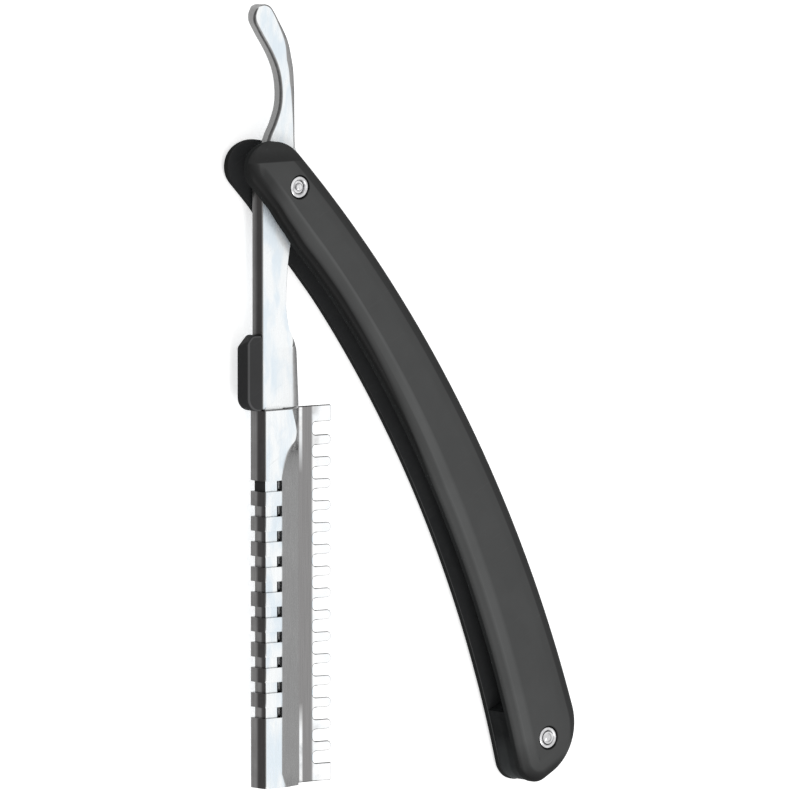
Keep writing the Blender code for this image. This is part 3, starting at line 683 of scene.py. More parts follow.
# Painted light on the scales: the way to the light, the lean and the length of handle that are read, how
# much the lean counts along the handle, where both ends take over, and the painted tone for each lean
PAINTED_LIGHT_FROM = (-0.5, 0.86, 0)
LEAN_SPAN = 0.45
GAIN_SPAN = 120 * MM
GAINS = ((0.0, 1.8), (0.167, 1.8), (0.517, 0.4), (0.93, 0.4), (1.0, 0.8))
PIVOT_FADE = (1 * MM, -4 * MM)
FAR_FADE = (111.5 * MM, 118 * MM)
PAINTED_LIGHT_TONES = (
    *((0.0, 0.16), (0.044, 0.32), (0.122, 0.55), (0.23, 0.80), (0.321, 0.93), (0.411, 1.02), (0.444, 1.28)),
    *((0.467, 1.50), (0.487, 1.36), (0.5, 1.02), (0.55, 0.96), (0.6, 0.57), (1.0, 0.50)),
)
PAINTED_END_TONES = (
    *((0.0, 0.24), (0.2, 0.32), (0.33, 0.42), (0.40, 0.54), (0.45, 0.80)),
    *((0.48, 1.0), (0.5, 1.0), (0.55, 0.96), (0.6, 0.57), (1.0, 0.50)),
)

# The slanted facet at the pivot end: its ridge in the head's frame, its tilt, and shade painted past the
# ridge
FACET_RIDGE = 4.7 * MM
FACET_TILT = math.radians(20)
FACET_BLEND = 0.2 * MM
FACET_SPAN = 3 * MM
FACET_SHADE_TONES = ((0.0, 0.40), (0.2, 0.42), (0.7, 0.55), (1.0, 0.52))


def plastic(name, tone_of, gloss=0.12):
    """Black moulded plastic, finely matt, with a tone that follows the way its surface faces."""
    made, tree, shader = material(name)
    speckle = effect(tree, fine_speckle, scale=7000.0)["Speckle"]
    patch = effect(tree, soft_patches, scale=110.0, low=0.3, high=0.7)["Patch"]
    wear = effect(tree, edge_wear, scale=700.0, amount=0.5)["Wear"]
    scratch = effect(tree, stray_scratches, rare=0.72)["Scratch"]
    upright = effect(tree, upright_share, low=0.1, high=0.6)
    tone = varied(tree, tone_of(tree, upright), patch, (0, 0.96), (1, 1.04))
    tone = marked(tree, tone, wear, 0.12, WORN_PLASTIC)
    tone = marked(tree, tone, scratch, 0.12, SCRATCHED_PLASTIC)
    dress(tree, shader, tone, uneven(tree, speckle, *PLASTIC_ROUGH), speckle, MATT_DEPTH, 0.5, metal=0.0)
    shader.inputs["IOR"].default_value = 1.03
    shader.inputs["Coat Roughness"].default_value = 0.38
    tree.links.new(spread(tree, upright["Share"], 0, 1, 0.01, gloss), shader.inputs["Coat Weight"])
    return made


def scale_plastic_painted_light(name, looks):
    """Plastic of the scales: a painted band of light along the concave rounding, and painted shade on the
    sides.
    """

    def tone_of(tree, upright):
        # Painted light: the face's tone follows how far the surface leans towards the light's direction
        lean = lean_to(tree, PAINTED_LIGHT_FROM)
        along = split(tree, here(tree))["X"]
        gain = ramp(tree, spread(tree, along, 0, GAIN_SPAN), GAINS)
        away = times(tree, maths(tree, "MINIMUM", lean, 0.0), gain)
        lean = maths(tree, "ADD", away, maths(tree, "MAXIMUM", lean, 0.0))
        share = spread(tree, lean, -LEAN_SPAN, LEAN_SPAN)
        ends = maths(tree, "MAXIMUM", spread(tree, along, *PIVOT_FADE), spread(tree, along, *FAR_FADE))
        tones = blend(tree, ends, ramp(tree, share, PAINTED_LIGHT_TONES), ramp(tree, share, PAINTED_END_TONES))
        beyond = split(tree, own_place(tree))["Y"]
        # Painted shade on the slanted facet beyond its ridge
        slant = ramp(tree, spread(tree, beyond, FACET_RIDGE, FACET_RIDGE + FACET_SPAN), FACET_SHADE_TONES)
        tones = blend(tree, spread(tree, beyond, FACET_RIDGE - FACET_BLEND, FACET_RIDGE), tones, slant)
        # Painted shade: sideways surfaces take the darker side colour
        return blend(tree, upright["Share"], looks.scale_side_shade, tint(tree, looks.scale_face, tones))

    return plastic(name, tone_of)


# How upright the slider's surface is where its side, painted dark as shade, turns into the edge with its
# painted highlight, and the edge into the face
SLIDER_SIDE_SPAN = (0.15, 0.45)
SLIDER_FACE_SPAN = (0.90, 0.99)


def slider_plastic(name, looks):
    """Plastic of the slider: painted shade on its outer side, and a painted highlight along its edges."""

    def tone_of(tree, upright):
        flat = spread(tree, upright["Upright"], *SLIDER_FACE_SPAN)
        face = blend(tree, flat, looks.slider_edge_highlight, looks.slider_face)
        return blend(tree, spread(tree, upright["Upright"], *SLIDER_SIDE_SPAN), looks.slider_side_shade, face)

    return plastic(name, tone_of)


DULL_GLOSS = 0.02


def dull_plastic(name, tone):
    """Plastic of the surfaces that look into the gap, in a darker colour as painted shade."""
    return plastic(name, lambda tree, upright: tone, DULL_GLOSS)


# Painted light and shade on the end spacer: tones along the handle, and the upper scale's shade, by height
SPACER_SPAN = (110 * MM, 119.5 * MM)
SPACER_LIGHT_TONES = ((0.0, 0.36), (0.26, 0.70), (0.63, 0.93), (1.0, 1.38))
SHADE_SPAN = (MID_HEIGHT + 0.1 * MM, MID_HEIGHT + 0.9 * MM)
SHADE_TONE = 0.65


def spacer_shaded_plastic(name, looks):
    """Plastic of the end spacer: painted light towards the far end, and painted shade below the upper scale.
    """

    def tone_of(tree, upright):
        place = split(tree, here(tree))
        tones = ramp(tree, spread(tree, place["X"], *SPACER_SPAN), SPACER_LIGHT_TONES)
        below = spread(tree, place["Z"], *SHADE_SPAN, smooth=True)
        return tint(tree, looks.spacer_face, varied(tree, tones, below, (0, 1.0), (1, SHADE_TONE)))

    return plastic(name, tone_of, DULL_GLOSS)


# Painted reflection on polished steel: tones from a sideways face, over its rounded edges, to one facing up
SHANK_REFLECTION_TONES = (
    *((0.0, 0.25), (0.2, 0.25), (0.38, 0.06), (0.80, 0.07)),
    *((0.90, 0.17), (0.935, 0.26), (0.97, 0.42), (1.0, 0.9)),
)
HOLDER_REFLECTION_TONES = (
    *((0.0, 0.22), (0.3, 0.22), (0.6, 0.34), (0.84, 0.36)),
    *((0.90, 0.26), (0.95, 0.46), (0.975, 0.50), (1.0, 0.9)),
)
PLAIN_REFLECTION_TONES = ((0.0, 0.30), (0.3, 0.20), (0.8, 0.20), (0.95, 0.40), (1.0, 0.9))


def steel(name, looks, tones, flat_from=0.965, flat_at=0.992, rough=0.20, metal=1.0):
    """Polished steel with a fine brushed grain, and painted reflection that darkens it towards its sides."""
    made, tree, shader = material(name)
    upright = effect(tree, upright_share, low=flat_from, high=flat_at)
    grain = effect(tree, brushed_grain)["Grain"]
    patch = effect(tree, soft_patches, scale=420.0, along=0.35)["Patch"]
    wear = effect(tree, edge_wear, scale=1500.0, amount=0.8)["Wear"]
    scratch = effect(tree, stray_scratches)["Scratch"]
    tone = blend(tree, patch, looks.steel_pale, looks.steel_blue)
    tone = blend(tree, spread(tree, grain, 0.35, 0.75, 0.0, 0.2), tone, BRUSHED_STEEL)
    # Painted reflection: surfaces that turn sideways take the darker tones of the ramp
    tone = blend(tree, upright["Share"], ramp(tree, upright["Upright"], tones), tone)
    tone = marked(tree, tone, wear, 0.15, WORN_STEEL)
    tone = marked(tree, tone, scratch, 0.12, SCRATCHED_STEEL)
    roughness = uneven(tree, grain, rough - 0.05, rough + 0.10)
    roughness = maths(tree, "ADD", roughness, times(tree, patch, 0.05))
    dress(tree, shader, tone, roughness, grain, GRAIN_DEPTH, metal=metal)
    return made


def spine_steel(name, looks, edge, shade_from, shade_at):
    """Brushed steel of a spine with painted shade towards its upper edge. The edge itself has its own painted
    tone.
    """
    made, tree, shader = material(name)
    # Painted light and shade by height: lighter along the lower edge, darker along the upper
    height = split(tree, here(tree))["Z"]
    up = spread(tree, height, MID_HEIGHT + shade_from, MID_HEIGHT + shade_at, smooth=True)
    upright = effect(tree, upright_share, low=0.2, high=0.6)
    grain = effect(tree, brushed_grain, across=5000.0, along=60.0)["Grain"]
    patch = effect(tree, soft_patches, scale=300.0)["Patch"]
    tone = blend(tree, up, looks.spine_lower_light, looks.spine_upper_shade)
    tone = varied(tree, tone, grain, (0.3, 0.85), (0.7, 1.2))
    tone = varied(tree, tone, patch, (0, 0.94), (1, 1.06))
    tone = blend(tree, upright["Share"], tone, (edge, edge, edge))
    dress(tree, shader, tone, uneven(tree, grain, 0.28, 0.40), grain, GRAIN_DEPTH)
    return made


def turned_metal(name, pale, rough=0.22):
    """Metal turned or pressed round, with soft patches and small dents."""
    made, tree, shader = material(name)
    patch = effect(tree, soft_patches, scale=900.0)["Patch"]
    speckle = effect(tree, fine_speckle, scale=5000.0)["Speckle"]
    wear = effect(tree, edge_wear, scale=2500.0, amount=0.6)["Wear"]
    tone = blend(tree, patch, pale, [part * PATCH_SHADE for part in pale])
    tone = marked(tree, tone, wear, 0.5, WORN_METAL)
    dress(tree, shader, tone, uneven(tree, speckle, rough - 0.05, rough + 0.12), speckle, DENT_DEPTH, 0.5)
    return made


# Handle


def corner_turn(x, centre, distance):
    """The centre of a round corner at this x, and its direction from the centre of the long edge."""
    along = x - centre[0]
    up = math.sqrt(distance**2 - along**2)
    return (x, centre[1] + up), math.atan2(up, along)


def handle_outline(inset):
    """Start and moves of a scale's outline, drawn in by the inset, anticlockwise from its concave side."""
    near, far = -HANDLE_PIVOT_END, PIN_DISTANCE + HANDLE_FAR_END
    corners = (
        (near + PIVOT_CONCAVE_ROUND, CONCAVE_CENTRE, CONCAVE_RADIUS + PIVOT_CONCAVE_ROUND),
        (far - FAR_CONCAVE_ROUND, CONCAVE_CENTRE, CONCAVE_RADIUS + FAR_CONCAVE_ROUND),
        (far - FAR_CONVEX_ROUND, CONVEX_CENTRE, CONVEX_RADIUS - FAR_CONVEX_ROUND),
        (near + PIVOT_CONVEX_ROUND, CONVEX_CENTRE, CONVEX_RADIUS - PIVOT_CONVEX_ROUND),
    )
    (a, at_a), (b, at_b), (c, at_c), (d, at_d) = (corner_turn(*corner) for corner in corners)
    reach = CONCAVE_RADIUS + inset
    start = (CONCAVE_CENTRE[0] + reach * math.cos(at_a), CONCAVE_CENTRE[1] + reach * math.sin(at_a))
    moves = (
        (*CONCAVE_CENTRE, at_b - at_a),
        (*b, math.pi - at_b),
        (far - inset, c[1]),
        (*c, at_c),
        (*CONVEX_CENTRE, at_d - at_c),
        (*d, math.pi - at_d),
        (near + inset, a[1]),
        (*a, at_a),
    )
    return start, moves


def pin_hole(place, sizes):
    """The bore through a scale and the seat of its collar, with a lip at the mouth."""
    half = HANDLE_GAP / 2 + sizes.scale_thickness
    bore = sizes.pin_radius + BORE_CLEARANCE
    wide = bore + sizes.collar_width + COLLAR_CLEARANCE
    seat = half - sizes.collar_thickness - 2 * RUNNING_GAP
    profile = (
        (bore, 0),
        (bore, seat),
        (wide, seat),
        (wide, half - BORE_LIP),
        (wide + BORE_LIP, half),
        (wide + BORE_LIP, half + OVERRUN),
        (0, half + OVERRUN),
    )
    hole = turned((0, 0), profile, closed=False)
    bmesh.ops.translate(hole, verts=hole.verts, vec=(place, 0, 0))
    return hole


# How far the concave edge stands in or out beside the pivot: places along the handle and shifts, in
# millimetres, and how far from the handle's axis the shift counts in full
EDGE_SHIFTS = ((-12, 0.42), (0, 0.32), (5, -0.12), (10, -0.45), (15, -0.3), (24, 0))
EDGE_DEPTH = 5 * MM
EDGE_STEPS = 14
SEAM_STEPS = 3
CROWN_STEP = 0.8 * MM
CROWN_RISES = (0.045 * MM, 0.02 * MM)
RIDGE_ANGLE = math.radians(15)
CUTTER_HALF, CUTTER_REACH, CUTTER_HEIGHT = 30 * MM, 20 * MM, 10 * MM


def end_facet(height):
    """What the slanted facet takes off the pivot end, below a ridge that runs across the head's spine."""
    corners = ((CUTTER_HALF, 0), (CUTTER_HALF, CUTTER_REACH), (-CUTTER_HALF, CUTTER_REACH))
    shape = plate((-CUTTER_HALF, 0), corners, 0, CUTTER_HEIGHT)
    place = Matrix.Translation((0, FACET_RIDGE, height)) @ Matrix.Rotation(-FACET_TILT, 4, "X")
    bmesh.ops.transform(shape, matrix=Matrix.Rotation(OPEN_ANGLE, 4, "Z") @ place, verts=shape.verts)
    return shape


def edge_shift(x):
    """The shift of the concave edge at this place along the handle."""
    for (start, low), (end, high) in zip(EDGE_SHIFTS, EDGE_SHIFTS[1:]):
        if start * MM <= x <= end * MM:
            share = (x / MM - start) / (end - start)
            share = share * share * (3 - 2 * share)
            return (low + (high - low) * share) * MM
    return 0


def scale_shape(sizes):
    """The upper scale: a curved plate with a wide elliptical rounding round its slightly crowned face."""
    low, high = HANDLE_GAP / 2, HANDLE_GAP / 2 + sizes.scale_thickness
    wall_top = high - sizes.round_depth
    shape = plate(*handle_outline(0), low, wall_top + sizes.round_width)
    round_edges(shape, rim(shape, wall_top + sizes.round_width), sizes.round_width, EDGE_STEPS)
    squash = (sizes.round_depth - sum(CROWN_RISES)) / sizes.round_width
    for vert in shape.verts:
        if vert.co.z > wall_top:
            vert.co.z = wall_top + (vert.co.z - wall_top) * squash
    round_edges(shape, rim(shape, low), sizes.seam_round, SEAM_STEPS)
    top = max(shape.faces, key=lambda face: face.calc_center_median().z)
    for rise in CROWN_RISES:
        bmesh.ops.inset_region(shape, faces=[top], thickness=CROWN_STEP, use_even_offset=True)
        bmesh.ops.translate(shape, verts=top.verts, vec=(0, 0, rise))
    for vert in shape.verts:
        vert.co.y += edge_shift(vert.co.x) * min(1, max(0, vert.co.y / -EDGE_DEPTH))
    cuts = [("DIFFERENCE", pin_hole(place, sizes)) for place in (0, PIN_DISTANCE)]
    return combined(shape, *cuts, ("DIFFERENCE", end_facet(high)))


class RAZOR_OT_scales(Operator):
    """Build the two curved scales of the handle"""

    bl_idname = "razor.scales"
    bl_label = "Handle scales"

    def execute(self, context):
        sizes, looks = context.scene.razor_handle, context.scene.razor_finishes
        finishes = [scale_plastic_painted_light("scale_plastic_painted_light", looks), dull_plastic("gap_shaded_plastic", looks.gap_face_shade)]
        for side, end in SIDES:
            shape = scale_shape(sizes)
            paint_sides(shape, lambda face: face.calc_center_median().z < HANDLE_GAP / 2 + TOUCHING)
            name, replaced = f"curved_scale_{end}", [f"handle_scale_{end}"]
            shape = turned_over(shape, side)
            add_piece(name, shape, HANDLE_PLACE, "handle", replaced, finishes, RIDGE_ANGLE)
        return {"FINISHED"}


SPACER_INSET = 0.15 * MM
SPACER_ROUND = 0.12 * MM
HOLLOW_STEPS = 720


class RAZOR_OT_spacer(Operator):
    """Build the block between the scales at the far end"""

    bl_idname = "razor.spacer"
    bl_label = "End spacer"

    def execute(self, context):
        sizes, looks = context.scene.razor_handle, context.scene.razor_finishes
        half = HANDLE_GAP / 2 - RUNNING_GAP
        shape = plate(*handle_outline(SPACER_INSET), -half, half)
        room = rod(PIN_DISTANCE - sizes.spacer_wall, half + OVERRUN, HOLLOW_STEPS)
        hole = rod(sizes.pin_radius + BORE_CLEARANCE, half + OVERRUN)
        bmesh.ops.translate(hole, verts=hole.verts, vec=(PIN_DISTANCE, 0, 0))
        shape = combined(shape, ("DIFFERENCE", room), ("DIFFERENCE", hole))
        round_edges(shape, sharp_edges(shape, SQUARE_ANGLE), SPACER_ROUND)
        finish = spacer_shaded_plastic("spacer_shaded_plastic", looks)
        add_piece("curved_end_spacer", shape, HANDLE_PLACE, "handle", ["end_spacer"], [finish])
        return {"FINISHED"}


# A pin's peened end: the groove round the dome, and the dome's curve as steps inwards in millimetres and
# shares of its rise
PIN_GROOVE = 0.45 * MM
SHALLOW_GROOVE = PIN_GROOVE / 8
PIN_CHAMFER = 0.08 * MM
GROOVE_EDGE = 0.04 * MM
GROOVE_WALL = 0.3
PIN_DOME = 0.17 * MM
DOME_RADIUS = 0.74 * MM
DOME_CURVE = ((0.06, 0.0), (0.20, 0.62), (0.42, 0.92))
COLLAR_BEND = 0.36 * MM
WASHER_ROUND = 0.06 * MM


def pin_shape(sizes, groove):
    """A pin whose upper end is peened to a low dome with a groove round it."""
    half = HANDLE_GAP / 2 + sizes.scale_thickness
    radius, top = sizes.pin_radius, half - RUNNING_GAP
    moves = [
        (radius - PIN_CHAMFER, -half),
        (radius, -half + PIN_CHAMFER),
        (radius, top - groove - GROOVE_EDGE),
        (radius - GROOVE_EDGE, top - groove),
        (DOME_RADIUS + GROOVE_EDGE, top - groove),
        (DOME_RADIUS, top - groove * GROOVE_WALL),
        *((DOME_RADIUS - inwards * MM, top + PIN_DOME * share) for inwards, share in DOME_CURVE),
        (0, top + PIN_DOME),
    ]
    return turned((0, -half), moves, closed=False)


def collar_shape(sizes):
    """A ring with a round crown, let into its seat."""
    high = HANDLE_GAP / 2 + sizes.scale_thickness - RUNNING_GAP
    low = high - sizes.collar_thickness
    inner = sizes.pin_radius + BORE_CLEARANCE
    outer = inner + sizes.collar_width
    moves = (
        (outer, low),
        (outer, high - COLLAR_BEND),
        (outer - COLLAR_BEND, high - COLLAR_BEND, math.pi / 2),
        (inner + COLLAR_BEND, high),
        (inner + COLLAR_BEND, high - COLLAR_BEND, math.pi / 2),
    )
    return turned((inner, low), moves)


class RAZOR_OT_pins(Operator):
    """Build both pins and the four collars round their ends"""

    bl_idname = "razor.pins"
    bl_label = "Pins and collars"

    def execute(self, context):
        sizes, looks = context.scene.razor_handle, context.scene.razor_finishes
        pin_finish = turned_metal("pin_steel", looks.collar_steel)
        collar_finish = turned_metal("collar_steel", looks.collar_steel, rough=0.18)
        for which, place, groove in (("pivot", 0, PIN_GROOVE), ("end", PIN_DISTANCE, SHALLOW_GROOVE)):
            there = HANDLE_PLACE @ Matrix.Translation((place, 0, 0))
            pin = pin_shape(sizes, groove)
            add_piece(f"peened_{which}_pin", pin, there, "handle", [f"{which}_pin"], [pin_finish])
            for side, end in SIDES:
                ring = turned_over(collar_shape(sizes), side)
                name, replaced = f"crowned_{which}_collar_{end}", [f"{which}_collar_{end}"]
                add_piece(name, ring, there, "handle", replaced, [collar_finish])
        return {"FINISHED"}


class RAZOR_OT_washers(Operator):
    """Build the washers beside the shank and the bush in its eye"""

    bl_idname = "razor.washers"
    bl_label = "Washers and bush"

    def execute(self, context):
        sizes, shank = context.scene.razor_handle, context.scene.razor_shank
        finish = turned_metal("bronze", context.scene.razor_finishes.bronze, rough=0.3)
        bore, half = sizes.pin_radius + BORE_CLEARANCE, shank.thickness / 2
        low, high = half + RUNNING_GAP, HANDLE_GAP / 2 - RUNNING_GAP
        for side, end in SIDES:
            ring = tube(bore, sizes.washer_radius, low, high)
            round_edges(ring, sharp_edges(ring), WASHER_ROUND)
            name, replaced = f"thin_pivot_washer_{end}", [f"pivot_washer_{end}"]
            ring = turned_over(ring, side)
            add_piece(name, ring, HANDLE_PLACE, "handle", replaced, [finish])
        half -= RUNNING_GAP
        ring = tube(bore, bore + BUSH_WALL, -half, half)
        round_edges(ring, sharp_edges(ring), WASHER_ROUND)
        add_piece("plain_pivot_bush", ring, HANDLE_PLACE, "head", ["pivot_bush"], [finish])
        return {"FINISHED"}


# Shapes of the head that the user wouldn't change. Tables of a shape hold shares unless they say otherwise.
SHANK_EDGE_REACH = 2.7 * MM
SHANK_KNEE_REACH = 0.3 * MM
SHANK_EDGE_THICKNESS = 0.8 * MM
SHANK_CORNER = 0.22 * MM
SHANK_CORNER_STEPS = 4
LOBE_RADIUS = 4.6 * MM
# The lobe round the pivot, from the tang on: the place along it, and the reach of its edge and of its spine
LOBE_SHARES = (
    (1.41, 0.33, 0.78),
    (1.20, 0.36, 0.84),
    (0.98, 0.44, 0.90),
    (0.74, 0.67, 0.96),
    (0.43, 0.90, 1.0),
    (0.00, 1.00, 1.0),
    (-0.43, 0.90, 1.0),
    (-0.76, 0.65, 1.0),
    (-1.09, 0.43, 1.0),
    (-1.52, 0.24, 1.0),
)
# From the lobe to the holder: the place along the shank, the reach of its edge, and how much bevel it has
WAIST_SHARES = (
    (0.26, 0.12, 0.0),
    (0.39, -0.15, 0.0),
    (0.55, -0.23, 0.0),
    (0.64, 0.02, 0.05),
    (0.67, 0.26, 0.35),
    (0.70, 0.55, 0.65),
    (0.73, 0.74, 0.86),
    (0.77, 0.86, 1.0),
    (1.00, 1.00, 1.0),
)
# The middle of the tang: its place across and along, its width, and its slant's width in millimetres
TANG_LINE = (
    (-0.37, 0.13, 1.46, 0.4),
    (-0.29, 0.25, 1.35, 0.4),
    (-0.14, 0.36, 1.00, 0.5),
    (-0.03, 0.47, 0.76, 0.8),
    (-0.01, 0.585, 0.75, 1.25),
    (-0.10, 0.705, 0.85, 1.7),
    (-0.36, 0.825, 0.98, 1.0),
    (-0.78, 0.94, 1.01, 0.45),
    (-1.00, 1.00, 1.0, 0.35),
)
TANG_CORNER = 0.62 * MM
TANG_CORNER_STEPS = 5
TANG_TIP_FLAT = 0.37 * MM
TIP_STEPS = 14
WIDEST_ROUND = 0.8
SLANT_SLOPE = 0.31
SLANT_LIP = 0.12


def shank_section(station, half):
    """Points round the shank at one place along it."""
    y, back, knee, edge, edge_half = station
    corner = [(back + inwards, half - down) for inwards, down in quarter(SHANK_CORNER, SHANK_CORNER_STEPS)]
    return [(x, y, z) for x, z in both_sides([(edge, edge_half), (knee, half), *corner])]


def shank_shape(sizes):
    """The shank without its eye and tenon: a lobe round the pivot, then a waist that ends at the holder."""
    half = sizes.thickness / 2
    corner = half - SHANK_CORNER
    stations = []
    for along, reach, back in LOBE_SHARES:
        edge = LOBE_RADIUS * reach
        stations.append(Vector((LOBE_RADIUS * along, -sizes.spine * back, edge - SHANK_CORNER, edge, corner)))
    for along, reach, bevel in WAIST_SHARES:
        edge = SHANK_EDGE_REACH * reach
        knee = (edge - SHANK_CORNER) * (1 - bevel) + SHANK_KNEE_REACH * bevel
        edge_half = corner * (1 - bevel) + SHANK_EDGE_THICKNESS / 2 * bevel
        stations.append(Vector((-sizes.reach * along, -sizes.spine, knee, edge, edge_half)))
    return skin([shank_section(station, half) for station in smooth_through(stations, 4)])


def tang_section(centre, across, half_width, half, slant):
    """Points round the tang at one place along it: a slant along its outer side, and a round inner corner."""
    bend = min(TANG_CORNER, half_width * WIDEST_ROUND)
    slant = min(slant, half_width * WIDEST_ROUND)
    lip = slant * SLANT_LIP
    drop = (slant - lip) * SLANT_SLOPE
    outer = [
        (half_width, half - drop - 2 * lip),
        (half_width - lip * 0.3, half - drop - lip * 0.7),
        (half_width - lip, half - drop),
        (half_width - slant + lip, half - lip * SLANT_SLOPE),
        (half_width - slant, half - lip * SLANT_SLOPE * 0.25),
        (half_width - slant - lip, half),
    ]
    inner = [(inwards - half_width, half - down) for inwards, down in quarter(bend, TANG_CORNER_STEPS)]
    return [(centre.x + across.x * w, centre.y + across.y * w, z) for w, z in both_sides([*outer, *inner])]


def tang_shape(sizes):
    """The curled tang, ending in a round tip."""
    points = [
        Vector((sizes.tang_curl * x, sizes.tang_height * y, sizes.tang_width * width, slant * MM))
        for x, y, width, slant in TANG_LINE
    ]
    line = smooth_through(points, 8)
    half = sizes.tang_thickness / 2
    sections = []
    for i, point in enumerate(line):
        ahead = line[min(i + 1, len(line) - 1)] - line[max(i - 1, 0)]
        forward = Vector((ahead.x, ahead.y)).normalized()
        across = Vector((forward.y, -forward.x))
        sections.append(tang_section(point.xy, across, point.z / 2, half, point.w))
    tip, radius = line[-1], line[-1].z / 2
    flat = math.acos(TANG_TIP_FLAT / radius)
    for i in range(1, TIP_STEPS + 1):
        turn = flat * i / TIP_STEPS
        centre = tip.xy + forward * radius * math.sin(turn)
        sections.append(tang_section(centre, across, radius * math.cos(turn), half, tip.w))
    return skin(sections)


# What lies inside the fold starts at one back face and has one thickness. The slider's web runs in a groove
# of the shank, and its block below the tenon, with room for the slider's travel.
CORE_BACK = -5.47 * MM
CORE_HALF = 1.5 * MM
TENON_FRONT = -1.67 * MM
TENON_OVERLAP = 0.3 * MM
GROOVE_FLOOR = -4.07 * MM
GROOVE_HALF = 0.65 * MM
HOLDER_TOP = -38.4 * MM
BLOCK_TOP = HOLDER_TOP - 10.6 * MM
BLOCK_END = BLOCK_TOP - 4.0 * MM
SLIDER_TRAVEL = 4.4 * MM
TRAVEL_ROOM = SLIDER_TRAVEL + 0.1 * MM
TENON_END = BLOCK_TOP + TRAVEL_ROOM
WEB_TOP = -30.6 * MM
GROOVE_TOP = WEB_TOP + TRAVEL_ROOM
# The faces that take the spine's painted-shade steel lean at least this far to it, and end below the tang
SHANK_SPINE_LEAN = -0.15
TANG_START = 2 * MM


class RAZOR_OT_shank(Operator):
    """Build the shank with its eye, its tenon and its tang"""

    bl_idname = "razor.shank"
    bl_label = "Shank and tang"

    def execute(self, context):
        sizes, looks = context.scene.razor_shank, context.scene.razor_finishes
        half = sizes.thickness / 2
        bore = context.scene.razor_handle.pin_radius + BORE_CLEARANCE
        eye = rod(bore + BUSH_WALL + RUNNING_GAP, half + OVERRUN)
        tenon = bar(CORE_BACK, TENON_FRONT, TENON_END, TENON_OVERLAP - sizes.reach, CORE_HALF)
        outside = -sizes.spine - OVERRUN
        groove = bar(outside, GROOVE_FLOOR, TENON_END - OVERRUN, GROOVE_TOP, GROOVE_HALF)
        cuts = (("UNION", tang_shape(sizes)), ("UNION", tenon), ("DIFFERENCE", eye), ("DIFFERENCE", groove))
        shape = combined(shank_shape(sizes), *cuts)

        def on_spine(face):
            return face.normal.x < SHANK_SPINE_LEAN and face.calc_center_median().y < TANG_START

        paint_sides(shape, on_spine)
        face = steel("polished_steel", looks, SHANK_REFLECTION_TONES, rough=0.28, metal=0.35)
        spine = spine_steel("shank_spine_steel", looks, edge=0.25, shade_from=-1.3 * MM, shade_at=0.3 * MM)
        add_piece("forged_shank", shape, HEAD_PLACE, "head", ["shank_tang"], [face, spine])
        return {"FINISHED"}


HOLDER_LIP = 2.35 * MM
LIP_HALF = 0.8 * MM
KNEE_AT_TOP = 1.05 * MM
KNEE_AT_BODY = -2.36 * MM
# The knee below the holder's top: its depth in millimetres, and how far it is drawn to the middle
CORNER_LINE = ((0.0, 1.0), (1.3, 0.65), (2.6, 0.30), (3.9, 0.03))
SHOULDER_LENGTH = 11.9 * MM
# The knee along the shoulder: its place, how far it still is from the body's, and how widely it bends
SHOULDER_SHARES = (
    (0.42, 1.0, 2.2),
    (0.49, 0.93, 3.5),
    (0.57, 0.66, 5.5),
    (0.67, 0.36, 5.0),
    (0.82, 0.13, 3.5),
    (1.0, 0.0, 1.0),
)
HOLDER_FOOT = 2.4 * MM
FOOT_KNEE_SHARE = 0.24
FOOT_BEND = 4
SPINE_FOLD = 0.42 * MM
SPINE_FOLD_STEPS = 6
KNEE_ROUND = 0.14 * MM
KNEE_STEPS = (1, 0.5, 0, -0.5, -1)
WINDOW_WIDTH = 3.86 * MM
WINDOW_ROUND = 0.15 * MM
HOLDER_END_ROUND = 0.22 * MM
HOLDER_ROUND = 0.10 * MM
HOLDER_SPINE_DEPTH = 0.2 * MM
HOLDER_SPINE_LEAN = -0.3
BAR_MARGIN = 0.46 * MM
BAR_FOOT = 0.8 * MM
BAR_GAP = 0.1 * MM
BAR_ROUND = 0.12 * MM
PEG_RADIUS = 0.9 * MM
PEG_PLACE = -0.6 * MM
PEG_ROUND = 0.08 * MM
PEG_FROM_TOP = 9.7 * MM
PEG_FROM_FOOT = 6.8 * MM


def holder_stations(sizes):
    """Places along the holder: its depth below the top, the x of its knee, and how widely the knee bends."""
    run = KNEE_AT_TOP - KNEE_AT_BODY
    points = []
    for depth, draw in CORNER_LINE:
        points.append(Vector((depth * MM, KNEE_AT_TOP * (1 - draw), KNEE_ROUND)))
    for along, share, bend in SHOULDER_SHARES:
        points.append(Vector((SHOULDER_LENGTH * along, KNEE_AT_BODY + run * share, KNEE_ROUND * bend)))
    points.insert(1, points[0].lerp(points[1], HOLDER_END_ROUND / points[1].x))
    foot = Vector((sizes.reach - HOLDER_FOOT, KNEE_AT_BODY, KNEE_ROUND))
    end = Vector((sizes.reach, KNEE_AT_BODY + run * FOOT_KNEE_SHARE, KNEE_ROUND * FOOT_BEND))
    return [*smooth_through(points, 6), foot, *smooth_through([foot, end], 4)[1:]]


def holder_section(station, half, spine, sheet):
    """Points round the folded sheet at one place along it, outside from lip to lip and back inside."""
    depth, knee, bend = station
    drop = max(0, HOLDER_END_ROUND - depth)
    slope = (half - LIP_HALF) / (HOLDER_LIP - knee)
    outer = [(HOLDER_LIP, LIP_HALF - drop / 2)]
    for step in KNEE_STEPS:
        outer.append((knee + bend * step, half - drop - slope * bend * (step + 1) ** 2 / 4))
    fold = quarter(SPINE_FOLD, SPINE_FOLD_STEPS)
    outer += [(spine + inwards, half - drop - down) for inwards, down in fold]
    inner = [(spine + sheet, half - sheet), (knee - bend, half - sheet), (HOLDER_LIP, LIP_HALF - sheet)]
    ring = [*both_sides(outer), *((x, -z) for x, z in reversed(inner)), *inner]
    return [(x, HOLDER_TOP - depth, z) for x, z in ring]


